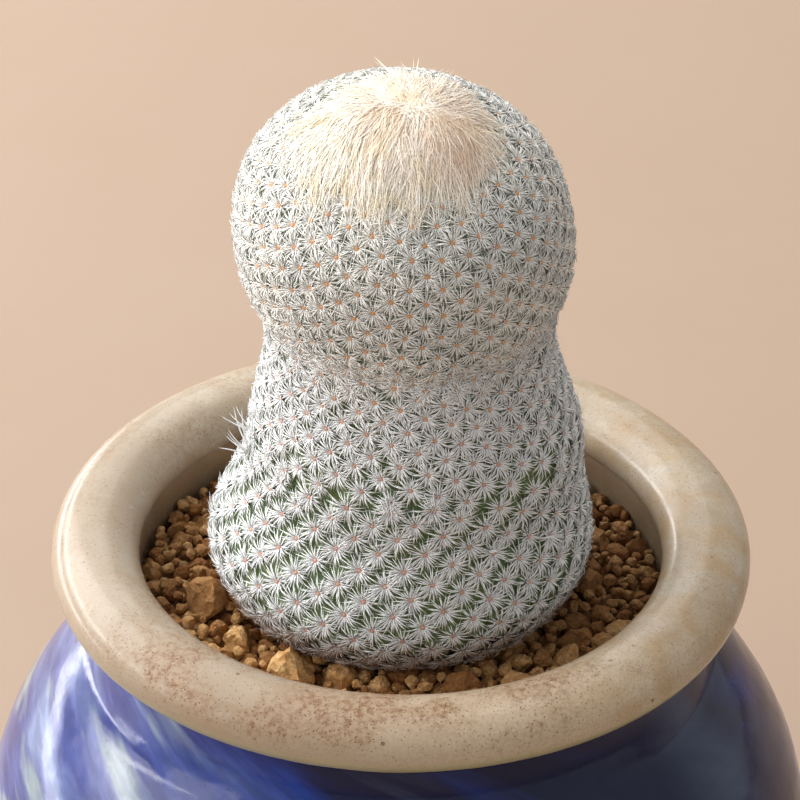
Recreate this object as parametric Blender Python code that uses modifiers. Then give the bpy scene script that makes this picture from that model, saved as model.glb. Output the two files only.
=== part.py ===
"""A small three-tiered cactus in a round glazed jar.

The jar holds grains of baked clay over a net that covers its drain hole. The cactus stands in a plain
hole in the grains, and its crown is covered with cream wool. Metres, +Z up, with the origin at the
centre of the jar's foot.
"""

import bisect
import math
import random

import bmesh
import bpy
from mathutils import Matrix, Vector
from mathutils.geometry import delaunay_2d_cdt

MM = 0.001
GAP = 0.3 * MM
TURN_STEPS = 40
SEED = 7

# Jar: a rolled lip on a short neck, a round belly and a foot ring with a recess
LIP_PLANE = 78.0 * MM
LIP_RADIUS = 32.8 * MM
LIP_HALF_WIDTH = 4.7 * MM
LIP_HALF_HEIGHT = 3.5 * MM
NECK_RADIUS = 31.2 * MM
THROAT_RADIUS = 28.5 * MM
BELLY_RADIUS = 46.0 * MM
BELLY_PLANE = 40.0 * MM
SHOULDER_HEIGHT = 36.0 * MM
BOWL_HEIGHT = 46.0 * MM
WALL = 4.4 * MM
BOWL_WALL = 1.6 * WALL
FLOOR_TOP = 7.0 * MM
FOOT_RADIUS = 27.0 * MM
FOOT_RING_WIDTH = 3.6 * MM
FOOT_EDGE = 0.4 * MM
FOOT_HEIGHT = 2.4 * MM
RECESS_TAPER = 0.6 * MM
DRAIN_RADIUS = 4.5 * MM

# Net over the drain hole
NET_RADIUS = 9.0 * MM
NET_THICKNESS = 1.0 * MM
NET_HOLE = 2.2 * MM
NET_PITCH = 3.4 * MM

# Soil: its level, and the size and relief of the grains on it
SOIL_LEVEL = 73.0 * MM
GRAIN_SIZE = 4.5 * MM
GRAIN_RISE = 1.1 * MM
CRACK_DEPTH = 1.2 * MM
# The share of the way from a grain's middle to the cracks round it that its flat top takes up
GRAIN_TOP = 0.46
# How far a grain strays from its even place, as a share of the distance between two grains
GRAIN_JITTER = 0.5
SPIRAL_SPACING = 1.7
# Cracks keep apart by at least this share of a grain's distance to the next
CRACK_SPACING = 0.25
# The sheet of grains runs past the throat, and its lid is above the lip, so that both cut cleanly
SHEET_MARGIN = 3.0 * MM
SHEET_EDGE = 2.0 * MM
LID_HEIGHT = LIP_PLANE + 5.0 * MM
HOLE_TOP = 76.0 * MM
HOLE_CLEARANCE = 0.7 * MM
HOLE_STEPS = 8

# Stem: the radius to the tips of the tubercles at each height, from the root to the crown
STEM_PROFILE = (
    (63.0 * MM, 3.0 * MM),
    (68.0 * MM, 10.6 * MM),
    (73.0 * MM, 14.6 * MM),
    (76.0 * MM, 18.2 * MM),
    (80.5 * MM, 19.9 * MM),
    (85.0 * MM, 18.9 * MM),
    (89.0 * MM, 17.5 * MM),
    (95.5 * MM, 16.7 * MM),
    (104.0 * MM, 14.6 * MM),
    (108.5 * MM, 14.9 * MM),
    (115.0 * MM, 16.8 * MM),
    (122.5 * MM, 16.1 * MM),
    (128.0 * MM, 12.6 * MM),
    (132.5 * MM, 5.8 * MM),
    (133.6 * MM, 0.0),
)
# How far the axis of the stem stands to the right of the jar's at each height
STEM_SWAY = (
    (63.0 * MM, 0.0),
    (80.0 * MM, -0.1 * MM),
    (92.0 * MM, 1.3 * MM),
    (100.0 * MM, 0.9 * MM),
    (110.0 * MM, 0.4 * MM),
    (122.0 * MM, -0.5 * MM),
    (134.0 * MM, -1.3 * MM),
)
# Points on the curve between two given ones
PROFILE_STEPS = 24
SWAY_STEPS = 12
# The topmost tier leans forward, from one height to another, about a pivot inside it
NOD = math.radians(14)
NOD_PIVOT = 117.0 * MM
NOD_START = 105.0 * MM
NOD_END = 115.0 * MM

# Tubercles in spiral rows, and the rosette of needles on each
TUBERCLE_AREA = 22.5 * MM * MM
TUBERCLE_RISE = 0.4 * MM
TUBERCLE_DEPTH = 0.8 * MM
TUBERCLES_FROM = 75.5 * MM
ROSETTES_FROM = 77.5 * MM
GOLDEN_ANGLE = math.radians(137.50776)
# Hollows keep apart by at least this share of a tubercle's distance to the next
HOLLOW_SPACING = 0.2
RAYS = 4
NEEDLE_LENGTH = 2.1 * MM
NEEDLE_LENGTH_SPREAD = (0.9, 1.1)
NEEDLE_RADIUS = 0.28 * MM
NEEDLE_ROOT = 0.9 * MM
NEEDLE_RISE = 28
NEEDLE_RISE_SPREAD = 5
# The corners of a needle round its middle, as shares of its radius upwards and across
NEEDLE_CORNERS = ((1, 0), (-0.5, -0.87), (-0.5, 0.87))
# One rosette on the left, at this angle and height, has longer needles, each with its own length and lean in
# degrees out from the skin
STRAY_PLACE = (math.radians(187), 91.5 * MM)
STRAY_NEEDLES = ((5.4 * MM, 24), (4.6 * MM, 38), (3.8 * MM, 54), (3.0 * MM, 76))

# Smooth parts of the stem: under the wool, and in the soil
SMOOTH_STEPS = 24
SMOOTH_DEPTH = 0.8 * MM
CROWN_REACH = 9.5 * MM
CROWN_SHIFT = 2.0 * MM
CROWN_CENTRE = 0.1 * MM
CROWN_TO_TUBERCLES = 10.7 * MM
CROWN_TO_ROSETTES = 13.4 * MM

# Wool on the crown: a thin cap, and rows of tufts (reach, count, length, lean in degrees) that hide it
WOOL_REACH = 8.6 * MM
WOOL_THICKNESS = 1.0 * MM
TUFT_ROWS = (
    (7.6 * MM, 28, 4.2 * MM, 10),
    (5.6 * MM, 22, 4.8 * MM, 14),
    (3.6 * MM, 16, 4.8 * MM, 17),
    (1.6 * MM, 8, 4.4 * MM, 20),
)
TUFT_TURN_SPREAD = 0.2
TUFT_LENGTH_SPREAD = (0.85, 1.1)
TUFT_LEAN_SPREAD = 3
TUFT_HALF_WIDTH = 1.1 * MM
TUFT_HALF_HEIGHT = 0.42 * MM
TUFT_ROOT = 0.6 * MM
FRONT_TUFTS = 1.25

# Short steps along the skin, over which its directions are taken
SLOPE_STEP = 0.05 * MM
FRAME_STEP = 0.3 * MM
TURN_STEP = 0.02
COMB_STEP = 0.5 * MM


def collection(name):
    found = bpy.data.collections.new(name)
    bpy.context.scene.collection.children.link(found)
    return found


def material(name, colour, roughness, metallic=0.0):
    made = bpy.data.materials.new(name)
    made.use_nodes = True
    shader = made.node_tree.nodes["Principled BSDF"]
    shader.inputs["Base Color"].default_value = (*colour, 1)
    shader.inputs["Roughness"].default_value = roughness
    shader.inputs["Metallic"].default_value = metallic
    return made


def bmesh_object(name, shape, home, surface=None):
    mesh = bpy.data.meshes.new(name)
    shape.to_mesh(mesh)
    shape.free()
    if surface:
        mesh.materials.append(surface)
    made = bpy.data.objects.new(name, mesh)
    home.objects.link(made)
    return made


def turned(name, profile, home, surface=None, closed=False, steps=TURN_STEPS):
    """A solid of revolution from (radius, height) points that run down its outer side."""
    points = [(radius, 0, height) for radius, height in profile]
    mesh = bpy.data.meshes.new(name)
    edges = [(i, i + 1) for i in range(len(points) - 1)]
    if closed:
        edges.append((len(points) - 1, 0))
    mesh.from_pydata(points, edges, [])
    if surface:
        mesh.materials.append(surface)
    made = bpy.data.objects.new(name, mesh)
    home.objects.link(made)
    screw = made.modifiers.new("turn", "SCREW")
    screw.steps = screw.render_steps = steps
    screw.use_merge_vertices = True
    screw.merge_threshold = 0.00001
    screw.use_smooth_shade = True
    return made


def arc(centre, half_width, half_height, start, end, steps):
    """(radius, height) points on an ellipse, with angles in degrees from its outer side upwards."""
    angles = [math.radians(start + (end - start) * i / steps) for i in range(steps + 1)]
    return [
        (centre[0] + half_width * math.cos(a), centre[1] + half_height * math.sin(a)) for a in angles
    ]


def angle_at(radius, half_width):
    return math.degrees(math.acos(radius / half_width))


def jar_bore(gap):
    """The jar's inner side from the neck down to the floor, moved inwards by a gap."""
    belly = (0, BELLY_PLANE)
    half_width = BELLY_RADIUS - WALL - gap
    shoulder = SHOULDER_HEIGHT - WALL - gap
    bowl = BOWL_HEIGHT - BOWL_WALL - gap
    neck = THROAT_RADIUS - gap
    top = angle_at(neck, half_width)
    bottom = -math.degrees(math.asin((BELLY_PLANE - FLOOR_TOP - gap) / bowl))
    upper = arc(belly, half_width, shoulder, top, 0, 3)
    lower = arc(belly, half_width, bowl, 0, bottom, 3)
    return upper + lower[1:]


def make_jar(home):
    lip = (LIP_RADIUS, LIP_PLANE)
    belly = (0, BELLY_PLANE)
    under_lip = angle_at(LIP_RADIUS - NECK_RADIUS, LIP_HALF_WIDTH) - 180
    in_throat = 180 + angle_at(LIP_RADIUS - THROAT_RADIUS, LIP_HALF_WIDTH)
    outer = arc(lip, LIP_HALF_WIDTH, LIP_HALF_HEIGHT, 90, under_lip, 8)
    shoulder_top = angle_at(NECK_RADIUS, BELLY_RADIUS)
    outer += arc(belly, BELLY_RADIUS, SHOULDER_HEIGHT, shoulder_top, 0, 4)
    outer += arc(belly, BELLY_RADIUS, BOWL_HEIGHT, 0, -angle_at(FOOT_RADIUS, BELLY_RADIUS), 4)[1:]
    foot = [
        (FOOT_RADIUS - FOOT_EDGE, FOOT_EDGE),
        (FOOT_RADIUS - 2 * FOOT_EDGE, 0),
        (FOOT_RADIUS - FOOT_RING_WIDTH, 0),
        (FOOT_RADIUS - FOOT_RING_WIDTH - RECESS_TAPER, FOOT_HEIGHT),
        (DRAIN_RADIUS, FOOT_HEIGHT),
        (DRAIN_RADIUS, FLOOR_TOP),
    ]
    bore = jar_bore(0)[::-1]
    throat = arc(lip, LIP_HALF_WIDTH, LIP_HALF_HEIGHT, in_throat, 90, 4)[:-1]
    glaze = material("glaze", (0.06, 0.10, 0.36), 0.15)
    turned("pot", outer + foot + bore + throat, home, glaze, closed=True)


def net_height():
    return FLOOR_TOP + GAP + NET_THICKNESS / 2


def make_net(home, cutters):
    bpy.ops.mesh.primitive_cylinder_add(
        vertices=24, radius=NET_RADIUS, depth=NET_THICKNESS, location=(0, 0, net_height())
    )
    net = bpy.context.object
    net.name = net.data.name = "drain_screen"
    for owner in list(net.users_collection):
        owner.objects.unlink(net)
    home.objects.link(net)
    net.data.materials.append(material("net", (0.03, 0.03, 0.03), 0.5))
    holes = bmesh.new()
    reach = int(NET_RADIUS / NET_PITCH) + 1
    for column in range(-reach, reach + 1):
        for row in range(-reach, reach + 1):
            place = Vector((column * NET_PITCH, row * NET_PITCH, net_height()))
            if place.xy.length > NET_RADIUS - NET_HOLE:
                continue
            size = Matrix.Diagonal((NET_HOLE, NET_HOLE, 3 * NET_THICKNESS, 1))
            bmesh.ops.create_cube(holes, size=1, matrix=Matrix.Translation(place) @ size)
    cutter = bmesh_object("net_holes", holes, cutters)
    cut = net.modifiers.new("holes", "BOOLEAN")
    cut.operation = "DIFFERENCE"
    cut.object = cutter


def spread_disc(count, radius, jitter, draw):
    """Points spread evenly over a disc along a sunflower's spiral, each moved a little at random."""
    step = radius / math.sqrt(count)
    points = []
    for i in range(count):
        reach = radius * math.sqrt((i + 0.5) / count)
        angle = i * GOLDEN_ANGLE
        nudge = Vector((draw.uniform(-1, 1), draw.uniform(-1, 1))) * jitter * step * SPIRAL_SPACING
        points.append(Vector((reach * math.cos(angle), reach * math.sin(angle))) + nudge)
    return points


def triangulated(points):
    """The points of a flat drawing and the triangles that join them, each turned the same way."""
    joined, _, faces, _, _, _ = delaunay_2d_cdt(points, [], [], 0, 1e-9)
    return joined, faces


def middles(points, faces, least):
    """The middle of each triangle, leaving out those that nearly meet another one."""
    kept = []
    for face in faces:
        middle = sum((points[i] for i in face), Vector((0, 0))) / len(face)
        side = min((points[a] - points[b]).length for a, b in zip(face, face[1:] + face[:1]))
        if all((middle - other).length > least * side for other in kept):
            kept.append(middle)
    return kept


def make_soil(home, cutters):
    draw = random.Random(SEED)
    bore = jar_bore(GAP)
    neck = THROAT_RADIUS - GAP
    recess = NET_RADIUS + GAP
    recess_top = FLOOR_TOP + NET_THICKNESS + 2 * GAP
    top = LIP_PLANE
    profile = [(0, top), (neck, top), *bore]
    profile += [(recess, FLOOR_TOP + GAP), (recess, recess_top), (0, recess_top)]
    soil = turned("soil", profile, home, material("baked_clay", (0.36, 0.19, 0.08), 0.95))

    # Above the grains: a sheet of grains and cracks, closed by a flat lid
    reach = THROAT_RADIUS + SHEET_MARGIN
    count = int(math.pi * reach**2 / GRAIN_SIZE**2)
    grains = spread_disc(count, reach, GRAIN_JITTER, draw)
    edge = [
        Vector((math.cos(a), math.sin(a))) * (reach + SHEET_EDGE)
        for a in (2 * math.pi * i / TURN_STEPS for i in range(TURN_STEPS))
    ]
    cracks = middles(*triangulated(grains + edge), CRACK_SPACING)
    points, faces = triangulated(grains + cracks + edge)
    sheet = bmesh.new()
    for i, point in enumerate(points):
        if i < len(grains):
            flat_top = GRAIN_RISE * draw.uniform(0, 1)
            height = (flat_top + GRAIN_TOP * CRACK_DEPTH) / (1 - GRAIN_TOP)
        else:
            height = -CRACK_DEPTH * draw.uniform(0.6, 1)
        sheet.verts.new((*point, SOIL_LEVEL + height))
    sheet.verts.ensure_lookup_table()
    for face in faces:
        sheet.faces.new([sheet.verts[i] for i in face])
    bmesh.ops.bevel(
        sheet,
        geom=sheet.verts[: len(grains)],
        offset=100 * GRAIN_TOP,
        offset_type="PERCENT",
        segments=1,
        affect="VERTICES",
    )
    rim = [side for side in sheet.edges if side.is_boundary]
    raised = bmesh.ops.extrude_edge_only(sheet, edges=rim)["geom"]
    lid = [part for part in raised if isinstance(part, bmesh.types.BMVert)]
    for point in lid:
        point.co.z = LID_HEIGHT
    lid_edges = [part for part in raised if isinstance(part, bmesh.types.BMEdge)]
    bmesh.ops.contextual_create(sheet, geom=lid_edges)
    bmesh.ops.triangulate(sheet, faces=sheet.faces[:])
    bmesh.ops.recalc_face_normals(sheet, faces=sheet.faces[:])
    bmesh_object("above_soil", sheet, cutters)

    # The hole for the stem follows it with a clearance
    root = STEM_PROFILE[0][0]
    heights = [HOLE_TOP + (root - HOLE_TOP) * i / HOLE_STEPS for i in range(HOLE_STEPS + 1)]
    hole = [(STEM.at_height(height)[0] + HOLE_CLEARANCE, height) for height in heights]
    hole = [(0, HOLE_TOP), *hole, (hole[-1][0], root - GAP), (0, root - GAP)]
    turned("stem_hole", hole, cutters, steps=SMOOTH_STEPS)

    cut = soil.modifiers.new("grains and hole", "BOOLEAN")
    cut.operation = "DIFFERENCE"
    cut.operand_type = "COLLECTION"
    cut.collection = cutters


def smooth_curve(points, steps):
    """Points on a Catmull-Rom curve through the given ones."""
    points = [Vector(point) for point in points]
    ends = [2 * points[0] - points[1], *points, 2 * points[-1] - points[-2]]
    found = []
    for before, start, end, after in zip(ends, ends[1:], ends[2:], ends[3:]):
        for i in range(steps):
            t = i / steps
            found.append(
                0.5
                * (
                    2 * start
                    + (end - before) * t
                    + (2 * before - 5 * start + 4 * end - after) * t**2
                    + (3 * start - before - 3 * end + after) * t**3
                )
            )
    return found + [points[-1]]


class Stem:
    """The stem's outer form: a turned profile whose axis sways and whose head nods forward.

    A place on it is an angle round the axis and a reach, measured along the skin from the crown.
    """

    def __init__(self):
        profile = smooth_curve([(radius, height) for height, radius in STEM_PROFILE], PROFILE_STEPS)
        profile.reverse()
        self.sway = smooth_curve(STEM_SWAY, SWAY_STEPS)
        self.radii = [max(0.0, point.x) for point in profile]
        self.heights = [point.y for point in profile]
        self.reach = [0.0]
        self.area = [0.0]
        self.spread = [0.0]
        for before, after in zip(profile, profile[1:]):
            length = (after - before).length
            radius = max((before.x + after.x) / 2, length / 2)
            self.reach.append(self.reach[-1] + length)
            self.area.append(self.area[-1] + 2 * math.pi * radius * length)
            self.spread.append(self.spread[-1] + length / radius)

    def between(self, known, value, wanted):
        """The wanted quantity where the known one has this value."""
        i = min(max(bisect.bisect_left(known, value), 1), len(known) - 1)
        share = (value - known[i - 1]) / (known[i] - known[i - 1])
        return wanted[i - 1] + (wanted[i] - wanted[i - 1]) * share

    def at_height(self, height):
        """(radius, reach) at a height, for the part below the crown."""
        depths = [-h for h in self.heights]
        return self.between(depths, -height, self.radii), self.between(depths, -height, self.reach)

    def flat(self, angle, reach):
        """The place on a flat disc that keeps the skin's angles, with the crown at its centre."""
        size = math.exp(self.between(self.reach, reach, self.spread))
        return Vector((size * math.cos(angle), size * math.sin(angle)))

    def from_flat(self, place):
        """(angle, reach) of a place on the flat disc."""
        spread = math.log(max(place.length, 1.0))
        return math.atan2(place.y, place.x), self.between(self.spread, spread, self.reach)

    def on_crown(self, angle, reach):
        """The place at this angle and reach from the middle of the wool, which is right of the crown."""
        return self.from_flat(self.flat(angle, reach) + self.flat(0, CROWN_SHIFT))

    def clear_of_wool(self, angle, reach, distance):
        """Whether a place is further than this from the middle of the wool."""
        away = self.flat(angle, reach) - self.flat(0, CROWN_SHIFT)
        return away.length > self.flat(0, distance).length

    def point(self, angle, reach, lift=0.0):
        """The point above the skin by lift, at this angle and reach."""
        step = SLOPE_STEP
        radius = self.between(self.reach, reach, self.radii)
        height = self.between(self.reach, reach, self.heights)
        slope = Vector(
            (
                self.between(self.reach, reach + step, self.radii)
                - self.between(self.reach, reach - step, self.radii),
                self.between(self.reach, reach + step, self.heights)
                - self.between(self.reach, reach - step, self.heights),
            )
        ).normalized()
        radius -= slope.y * lift
        height += slope.x * lift
        sway = self.between([s.x for s in self.sway], height, [s.y for s in self.sway])
        across = Vector((radius * math.cos(angle) + sway, radius * math.sin(angle), height))
        share = min(max((height - NOD_START) / (NOD_END - NOD_START), 0), 1)
        nod = NOD * share**2 * (3 - 2 * share)
        pivot = Vector((0, 0, NOD_PIVOT))
        return pivot + Matrix.Rotation(nod, 3, "X") @ (across - pivot)

    def frame(self, angle, reach):
        """The outward direction, and two along the skin: round the axis, and towards the root."""
        here = self.point(angle, reach)
        round_axis = (self.point(angle + TURN_STEP, reach) - here).normalized()
        down = (self.point(angle, reach + FRAME_STEP) - here).normalized()
        return down.cross(round_axis).normalized(), round_axis, down


STEM = Stem()


def needle(shape, start, tip, half_width, half_height, up):
    """A three-sided needle from a triangle round its start to its tip."""
    along = (tip - start).normalized()
    side = along.cross(up).normalized()
    top = side.cross(along).normalized()
    corners = [
        start + top * half_height * high + side * half_width * wide for high, wide in NEEDLE_CORNERS
    ]
    base = [shape.verts.new(corner) for corner in corners]
    end = shape.verts.new(tip)
    shape.faces.new(base)
    for a, b in ((0, 1), (1, 2), (2, 0)):
        shape.faces.new((base[b], base[a], end))


def joined(core, shapes):
    """Makes the core and all the shapes one body. The shapes are used up."""
    repeats = collection("repeats")
    for i, shape in enumerate(shapes):
        bmesh.ops.recalc_face_normals(shape, faces=shape.faces[:])
        bmesh_object(f"repeats_{i}", shape, repeats)
    union = core.modifiers.new("join", "BOOLEAN")
    union.operation = "UNION"
    union.operand_type = "COLLECTION"
    union.collection = repeats
    union.solver = "MANIFOLD"
    bpy.context.view_layer.update()
    graph = bpy.context.evaluated_depsgraph_get()
    mesh = bpy.data.meshes.new_from_object(core.evaluated_get(graph))
    core.modifiers.clear()
    core.data = mesh
    for repeat in list(repeats.objects):
        bpy.data.objects.remove(repeat)
    bpy.data.collections.remove(repeats)


def ring(reach, steps):
    return [(2 * math.pi * i / steps, reach) for i in range(steps)]


def crown_rings(last_reach):
    """The places of a small disc of skin round the middle of the wool."""
    places = [STEM.on_crown(0, CROWN_CENTRE)]
    for reach, steps in (
        (last_reach / 3, SMOOTH_STEPS // 3),
        (last_reach * 2 / 3, SMOOTH_STEPS // 2),
        (last_reach, SMOOTH_STEPS),
    ):
        places += [STEM.on_crown(*place) for place in ring(reach, steps)]
    return places


def areole_places():
    """The tips of the tubercles, each turned by the golden angle from the last, with the same area each."""
    first = STEM.between(STEM.reach, CROWN_REACH - CROWN_SHIFT, STEM.area)
    last = STEM.between(STEM.reach, STEM.at_height(TUBERCLES_FROM)[1], STEM.area)
    places = []
    for i in range(int((last - first) / TUBERCLE_AREA)):
        reach = STEM.between(STEM.area, first + (i + 0.5) * TUBERCLE_AREA, STEM.reach)
        angle = i * GOLDEN_ANGLE % (2 * math.pi)
        if STEM.clear_of_wool(angle, reach, CROWN_TO_TUBERCLES):
            places.append((angle, reach))
    return places


def tubercled_skin(areoles):
    """The stem's skin: a peak at each areole, hollows between them, and a smooth crown and root."""
    buried = STEM.at_height(SOIL_LEVEL)[1]
    root = STEM.reach[-1]
    crown = crown_rings(CROWN_REACH)
    below = ring(buried, SMOOTH_STEPS) + ring((buried + root) / 2, SMOOTH_STEPS) + ring(root, SMOOTH_STEPS)
    lifts = [TUBERCLE_RISE] * len(areoles) + [-SMOOTH_DEPTH] * len(crown) + [0.0] * len(below)
    places = [STEM.flat(*place) for place in areoles + crown + below]
    points, faces = triangulated(places)
    smooth = [face for face in faces if min(face) >= len(areoles)]
    peaks = [face for face in faces if face not in smooth]
    hollows = middles(points, peaks, HOLLOW_SPACING)
    points, faces = triangulated(places + hollows)
    lifts += [-TUBERCLE_DEPTH] * len(hollows)

    skin = bmesh.new()
    for place, lift in zip(points, lifts):
        skin.verts.new(STEM.point(*STEM.from_flat(place), lift))
    skin.verts.ensure_lookup_table()
    for face in faces:
        skin.faces.new([skin.verts[i] for i in face])
    bmesh.ops.holes_fill(skin, edges=[side for side in skin.edges if side.is_boundary])
    bmesh.ops.recalc_face_normals(skin, faces=skin.faces[:])
    return skin


def turns_on_faces(tip, across, down):
    """The directions along the skin, one for each needle, in which a peak's own faces lie."""
    turns = []
    for face in tip.link_faces:
        away = face.calc_center_median() - tip.co
        turns.append(math.atan2(away.dot(down), away.dot(across)))
    turns.sort()
    return [turns[i * len(turns) // RAYS] for i in range(RAYS)]


def rosettes(skin, areoles):
    """A rosette of needles on each tubercle clear of the soil, with one shape for each needle in it."""
    draw = random.Random(SEED)
    rays = [bmesh.new() for _ in range(RAYS)]
    last_reach = STEM.at_height(ROSETTES_FROM)[1]
    stray = STEM.point(STRAY_PLACE[0], STEM.at_height(STRAY_PLACE[1])[1])
    tips = skin.verts[: len(areoles)]
    longest = min(tips, key=lambda tip: (tip.co - stray).length)
    for tip, (angle, reach) in zip(tips, areoles):
        if reach > last_reach or not STEM.clear_of_wool(angle, reach, CROWN_TO_ROSETTES):
            continue
        outward, across, down = STEM.frame(angle, reach)
        start = tip.co - outward * NEEDLE_ROOT
        for i, turn in enumerate(turns_on_faces(tip, across, down)):
            away = across * math.cos(turn) + down * math.sin(turn)
            rise = NEEDLE_RISE + draw.uniform(-NEEDLE_RISE_SPREAD, NEEDLE_RISE_SPREAD)
            length = NEEDLE_LENGTH * draw.uniform(*NEEDLE_LENGTH_SPREAD)
            if tip is longest:
                length, rise = STRAY_NEEDLES[i]
                away = -down
            rise = math.radians(rise)
            along = away * math.cos(rise) + outward * math.sin(rise)
            end = start + along * (NEEDLE_ROOT + length)
            needle(rays[i], start, end, NEEDLE_RADIUS, NEEDLE_RADIUS, outward)
    return rays


def make_stem(home):
    areoles = areole_places()
    skin = tubercled_skin(areoles)
    skin.verts.ensure_lookup_table()
    rays = rosettes(skin, areoles)
    green = material("green_skin", (0.12, 0.22, 0.07), 0.6)
    joined(bmesh_object("cactus_stem", skin, home, green), rays)


def wool_cap():
    """A thin cap that follows the smooth crown, just clear of it."""
    inner = GAP - SMOOTH_DEPTH
    places = crown_rings(WOOL_REACH)
    _, faces = triangulated([STEM.flat(*place) for place in places])
    cap = bmesh.new()
    under, over = (
        [cap.verts.new(STEM.point(*place, lift)) for place in places]
        for lift in (inner, inner + WOOL_THICKNESS)
    )
    for face in faces:
        cap.faces.new([under[i] for i in face])
        cap.faces.new([over[i] for i in reversed(face)])
    edge = range(len(places) - SMOOTH_STEPS, len(places))
    for a, b in zip(edge, [*edge[1:], edge[0]]):
        cap.faces.new((under[a], under[b], over[b], over[a]))
    bmesh.ops.recalc_face_normals(cap, faces=cap.faces[:])
    return cap


def tufts():
    """Rows of tufts that lie outwards over the cap, longer at the front, with neighbours in different shapes."""
    draw = random.Random(SEED)
    middle = GAP - SMOOTH_DEPTH + WOOL_THICKNESS / 2
    shapes = []
    for reach, count, length, lean in TUFT_ROWS:
        pair = (bmesh.new(), bmesh.new())
        for i in range(count):
            angle = 2 * math.pi * (i + draw.uniform(-TUFT_TURN_SPREAD, TUFT_TURN_SPREAD)) / count
            here = STEM.on_crown(angle, reach)
            root = STEM.point(*here, middle)
            beyond = STEM.point(*STEM.on_crown(angle, reach + COMB_STEP), middle)
            outward = STEM.frame(*here)[0]
            rise = math.radians(lean + draw.uniform(-TUFT_LEAN_SPREAD, TUFT_LEAN_SPREAD))
            along = (beyond - root).normalized() * math.cos(rise) + outward * math.sin(rise)
            start = root - along * TUFT_ROOT
            front = 1 + (FRONT_TUFTS - 1) * max(0, -math.sin(angle))
            end = root + along * length * front * draw.uniform(*TUFT_LENGTH_SPREAD)
            needle(pair[i % 2], start, end, TUFT_HALF_WIDTH, TUFT_HALF_HEIGHT, outward)
        shapes += pair
    return shapes


def make_wool(home):
    wool = material("wool", (0.83, 0.74, 0.58), 0.9)
    joined(bmesh_object("crown_wool", wool_cap(), home, wool), tufts())


def main():
    for old in list(bpy.data.objects):
        bpy.data.objects.remove(old)
    home = collection("potted_cactus")
    soil_cutters = collection("soil_cutters")
    net_cutters = collection("net_cutters")
    make_jar(home)
    make_net(home, net_cutters)
    make_soil(home, soil_cutters)
    make_stem(home)
    make_wool(home)
    for cutters in (soil_cutters, net_cutters):
        cutters.hide_render = True
        for cutter in cutters.objects:
            cutter.hide_render = True
            cutter.display_type = "WIRE"


main()
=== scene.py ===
"""Looks of a small three-tiered cactus in a round glazed jar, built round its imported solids.

The jar, the clay grains, the green skin, its rosettes of needles and the crown's wool are meshes on the
same forms as the solids. Metres, +Z up, with the origin at the centre of the jar's foot.
"""

import math

import bmesh
import bpy
import numpy as np
from mathutils import Matrix, Vector, kdtree


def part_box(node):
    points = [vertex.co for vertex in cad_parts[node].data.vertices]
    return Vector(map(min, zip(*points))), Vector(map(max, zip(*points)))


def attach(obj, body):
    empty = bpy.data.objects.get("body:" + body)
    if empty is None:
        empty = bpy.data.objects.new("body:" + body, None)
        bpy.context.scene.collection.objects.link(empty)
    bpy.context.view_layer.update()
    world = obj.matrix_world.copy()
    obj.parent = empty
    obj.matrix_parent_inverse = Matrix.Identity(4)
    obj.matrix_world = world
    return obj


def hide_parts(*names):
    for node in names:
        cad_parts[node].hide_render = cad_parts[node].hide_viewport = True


bl_info = {
    "name": "Potted cactus",
    "version": (1, 0, 0),
    "blender": (4, 5, 0),
    "location": "3D View > Sidebar > Potted cactus",
    "description": "Dresses a small cactus in a glazed jar: glaze, clay grains, needles and wool",
    "category": "Add Mesh",
}

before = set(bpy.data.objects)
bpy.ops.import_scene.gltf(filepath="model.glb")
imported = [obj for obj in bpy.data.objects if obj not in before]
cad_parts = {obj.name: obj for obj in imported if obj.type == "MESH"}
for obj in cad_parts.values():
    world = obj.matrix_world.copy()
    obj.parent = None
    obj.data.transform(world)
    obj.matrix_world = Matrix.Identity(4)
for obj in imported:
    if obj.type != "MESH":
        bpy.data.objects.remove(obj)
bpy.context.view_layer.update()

MM = 0.001
SEED = 7

# Jar: a rolled lip on a short neck, a round belly and a foot ring with a recess
LIP_PLANE = 78.0 * MM
LIP_RADIUS = 32.8 * MM
LIP_HALF_WIDTH = 4.7 * MM
LIP_HALF_HEIGHT = 3.5 * MM
NECK_RADIUS = 31.2 * MM
THROAT_RADIUS = 28.5 * MM
# The neck runs into the shoulder in a soft curve: how far it stands out from the neck's radius at each height
NECK_FILLET = 2.6 * MM
NECK_CURVE = ((0.05, 71.8), (0.4, 69.2), (1.3, 66.9))
BELLY_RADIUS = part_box("pot")[1].x
BELLY_PLANE = 40.0 * MM
SHOULDER_HEIGHT = 36.0 * MM
BOWL_HEIGHT = 46.0 * MM
WALL = 4.4 * MM
BOWL_WALL = 1.6 * WALL
FLOOR_TOP = 7.0 * MM
FOOT_RADIUS = 27.0 * MM
FOOT_RING_WIDTH = 3.6 * MM
FOOT_HEIGHT = 2.4 * MM
DRAIN_RADIUS = 4.5 * MM
JAR_TURN_STEPS = 192
LIP_LIFT = 0.1 * MM
# The wall starts to stray from round between these heights and these radii
WAVY_HEIGHTS = (6 * MM, 14 * MM)
WAVY_RADII = (29.5 * MM, 31.5 * MM)
# A small chip on the lip's lower edge, in millimetres
LIP_CHIP = (-28.1, -22.9, 77.0)
# Where the cream glaze of the lip ends on the outside, in millimetres
GLAZE_EDGE = 75.65

# Soil
SOIL_LEVEL = 73.0 * MM
SOIL_GAP = 0.3 * MM
SOIL_FLOOR = 8.6 * MM
HOLE_CLEARANCE = 0.7 * MM
BED_DEPTH = 1.6 * MM
BED_STEPS = 96
NET_ROOM_RADIUS = 9.3 * MM
# The two largest grains in sight: where each lies and its size, in millimetres
LARGEST_GRAINS = (((-20.9, -4.9, 73.7), 5.2), ((-11.0, -17.6, 73.4), 5.6))
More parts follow.
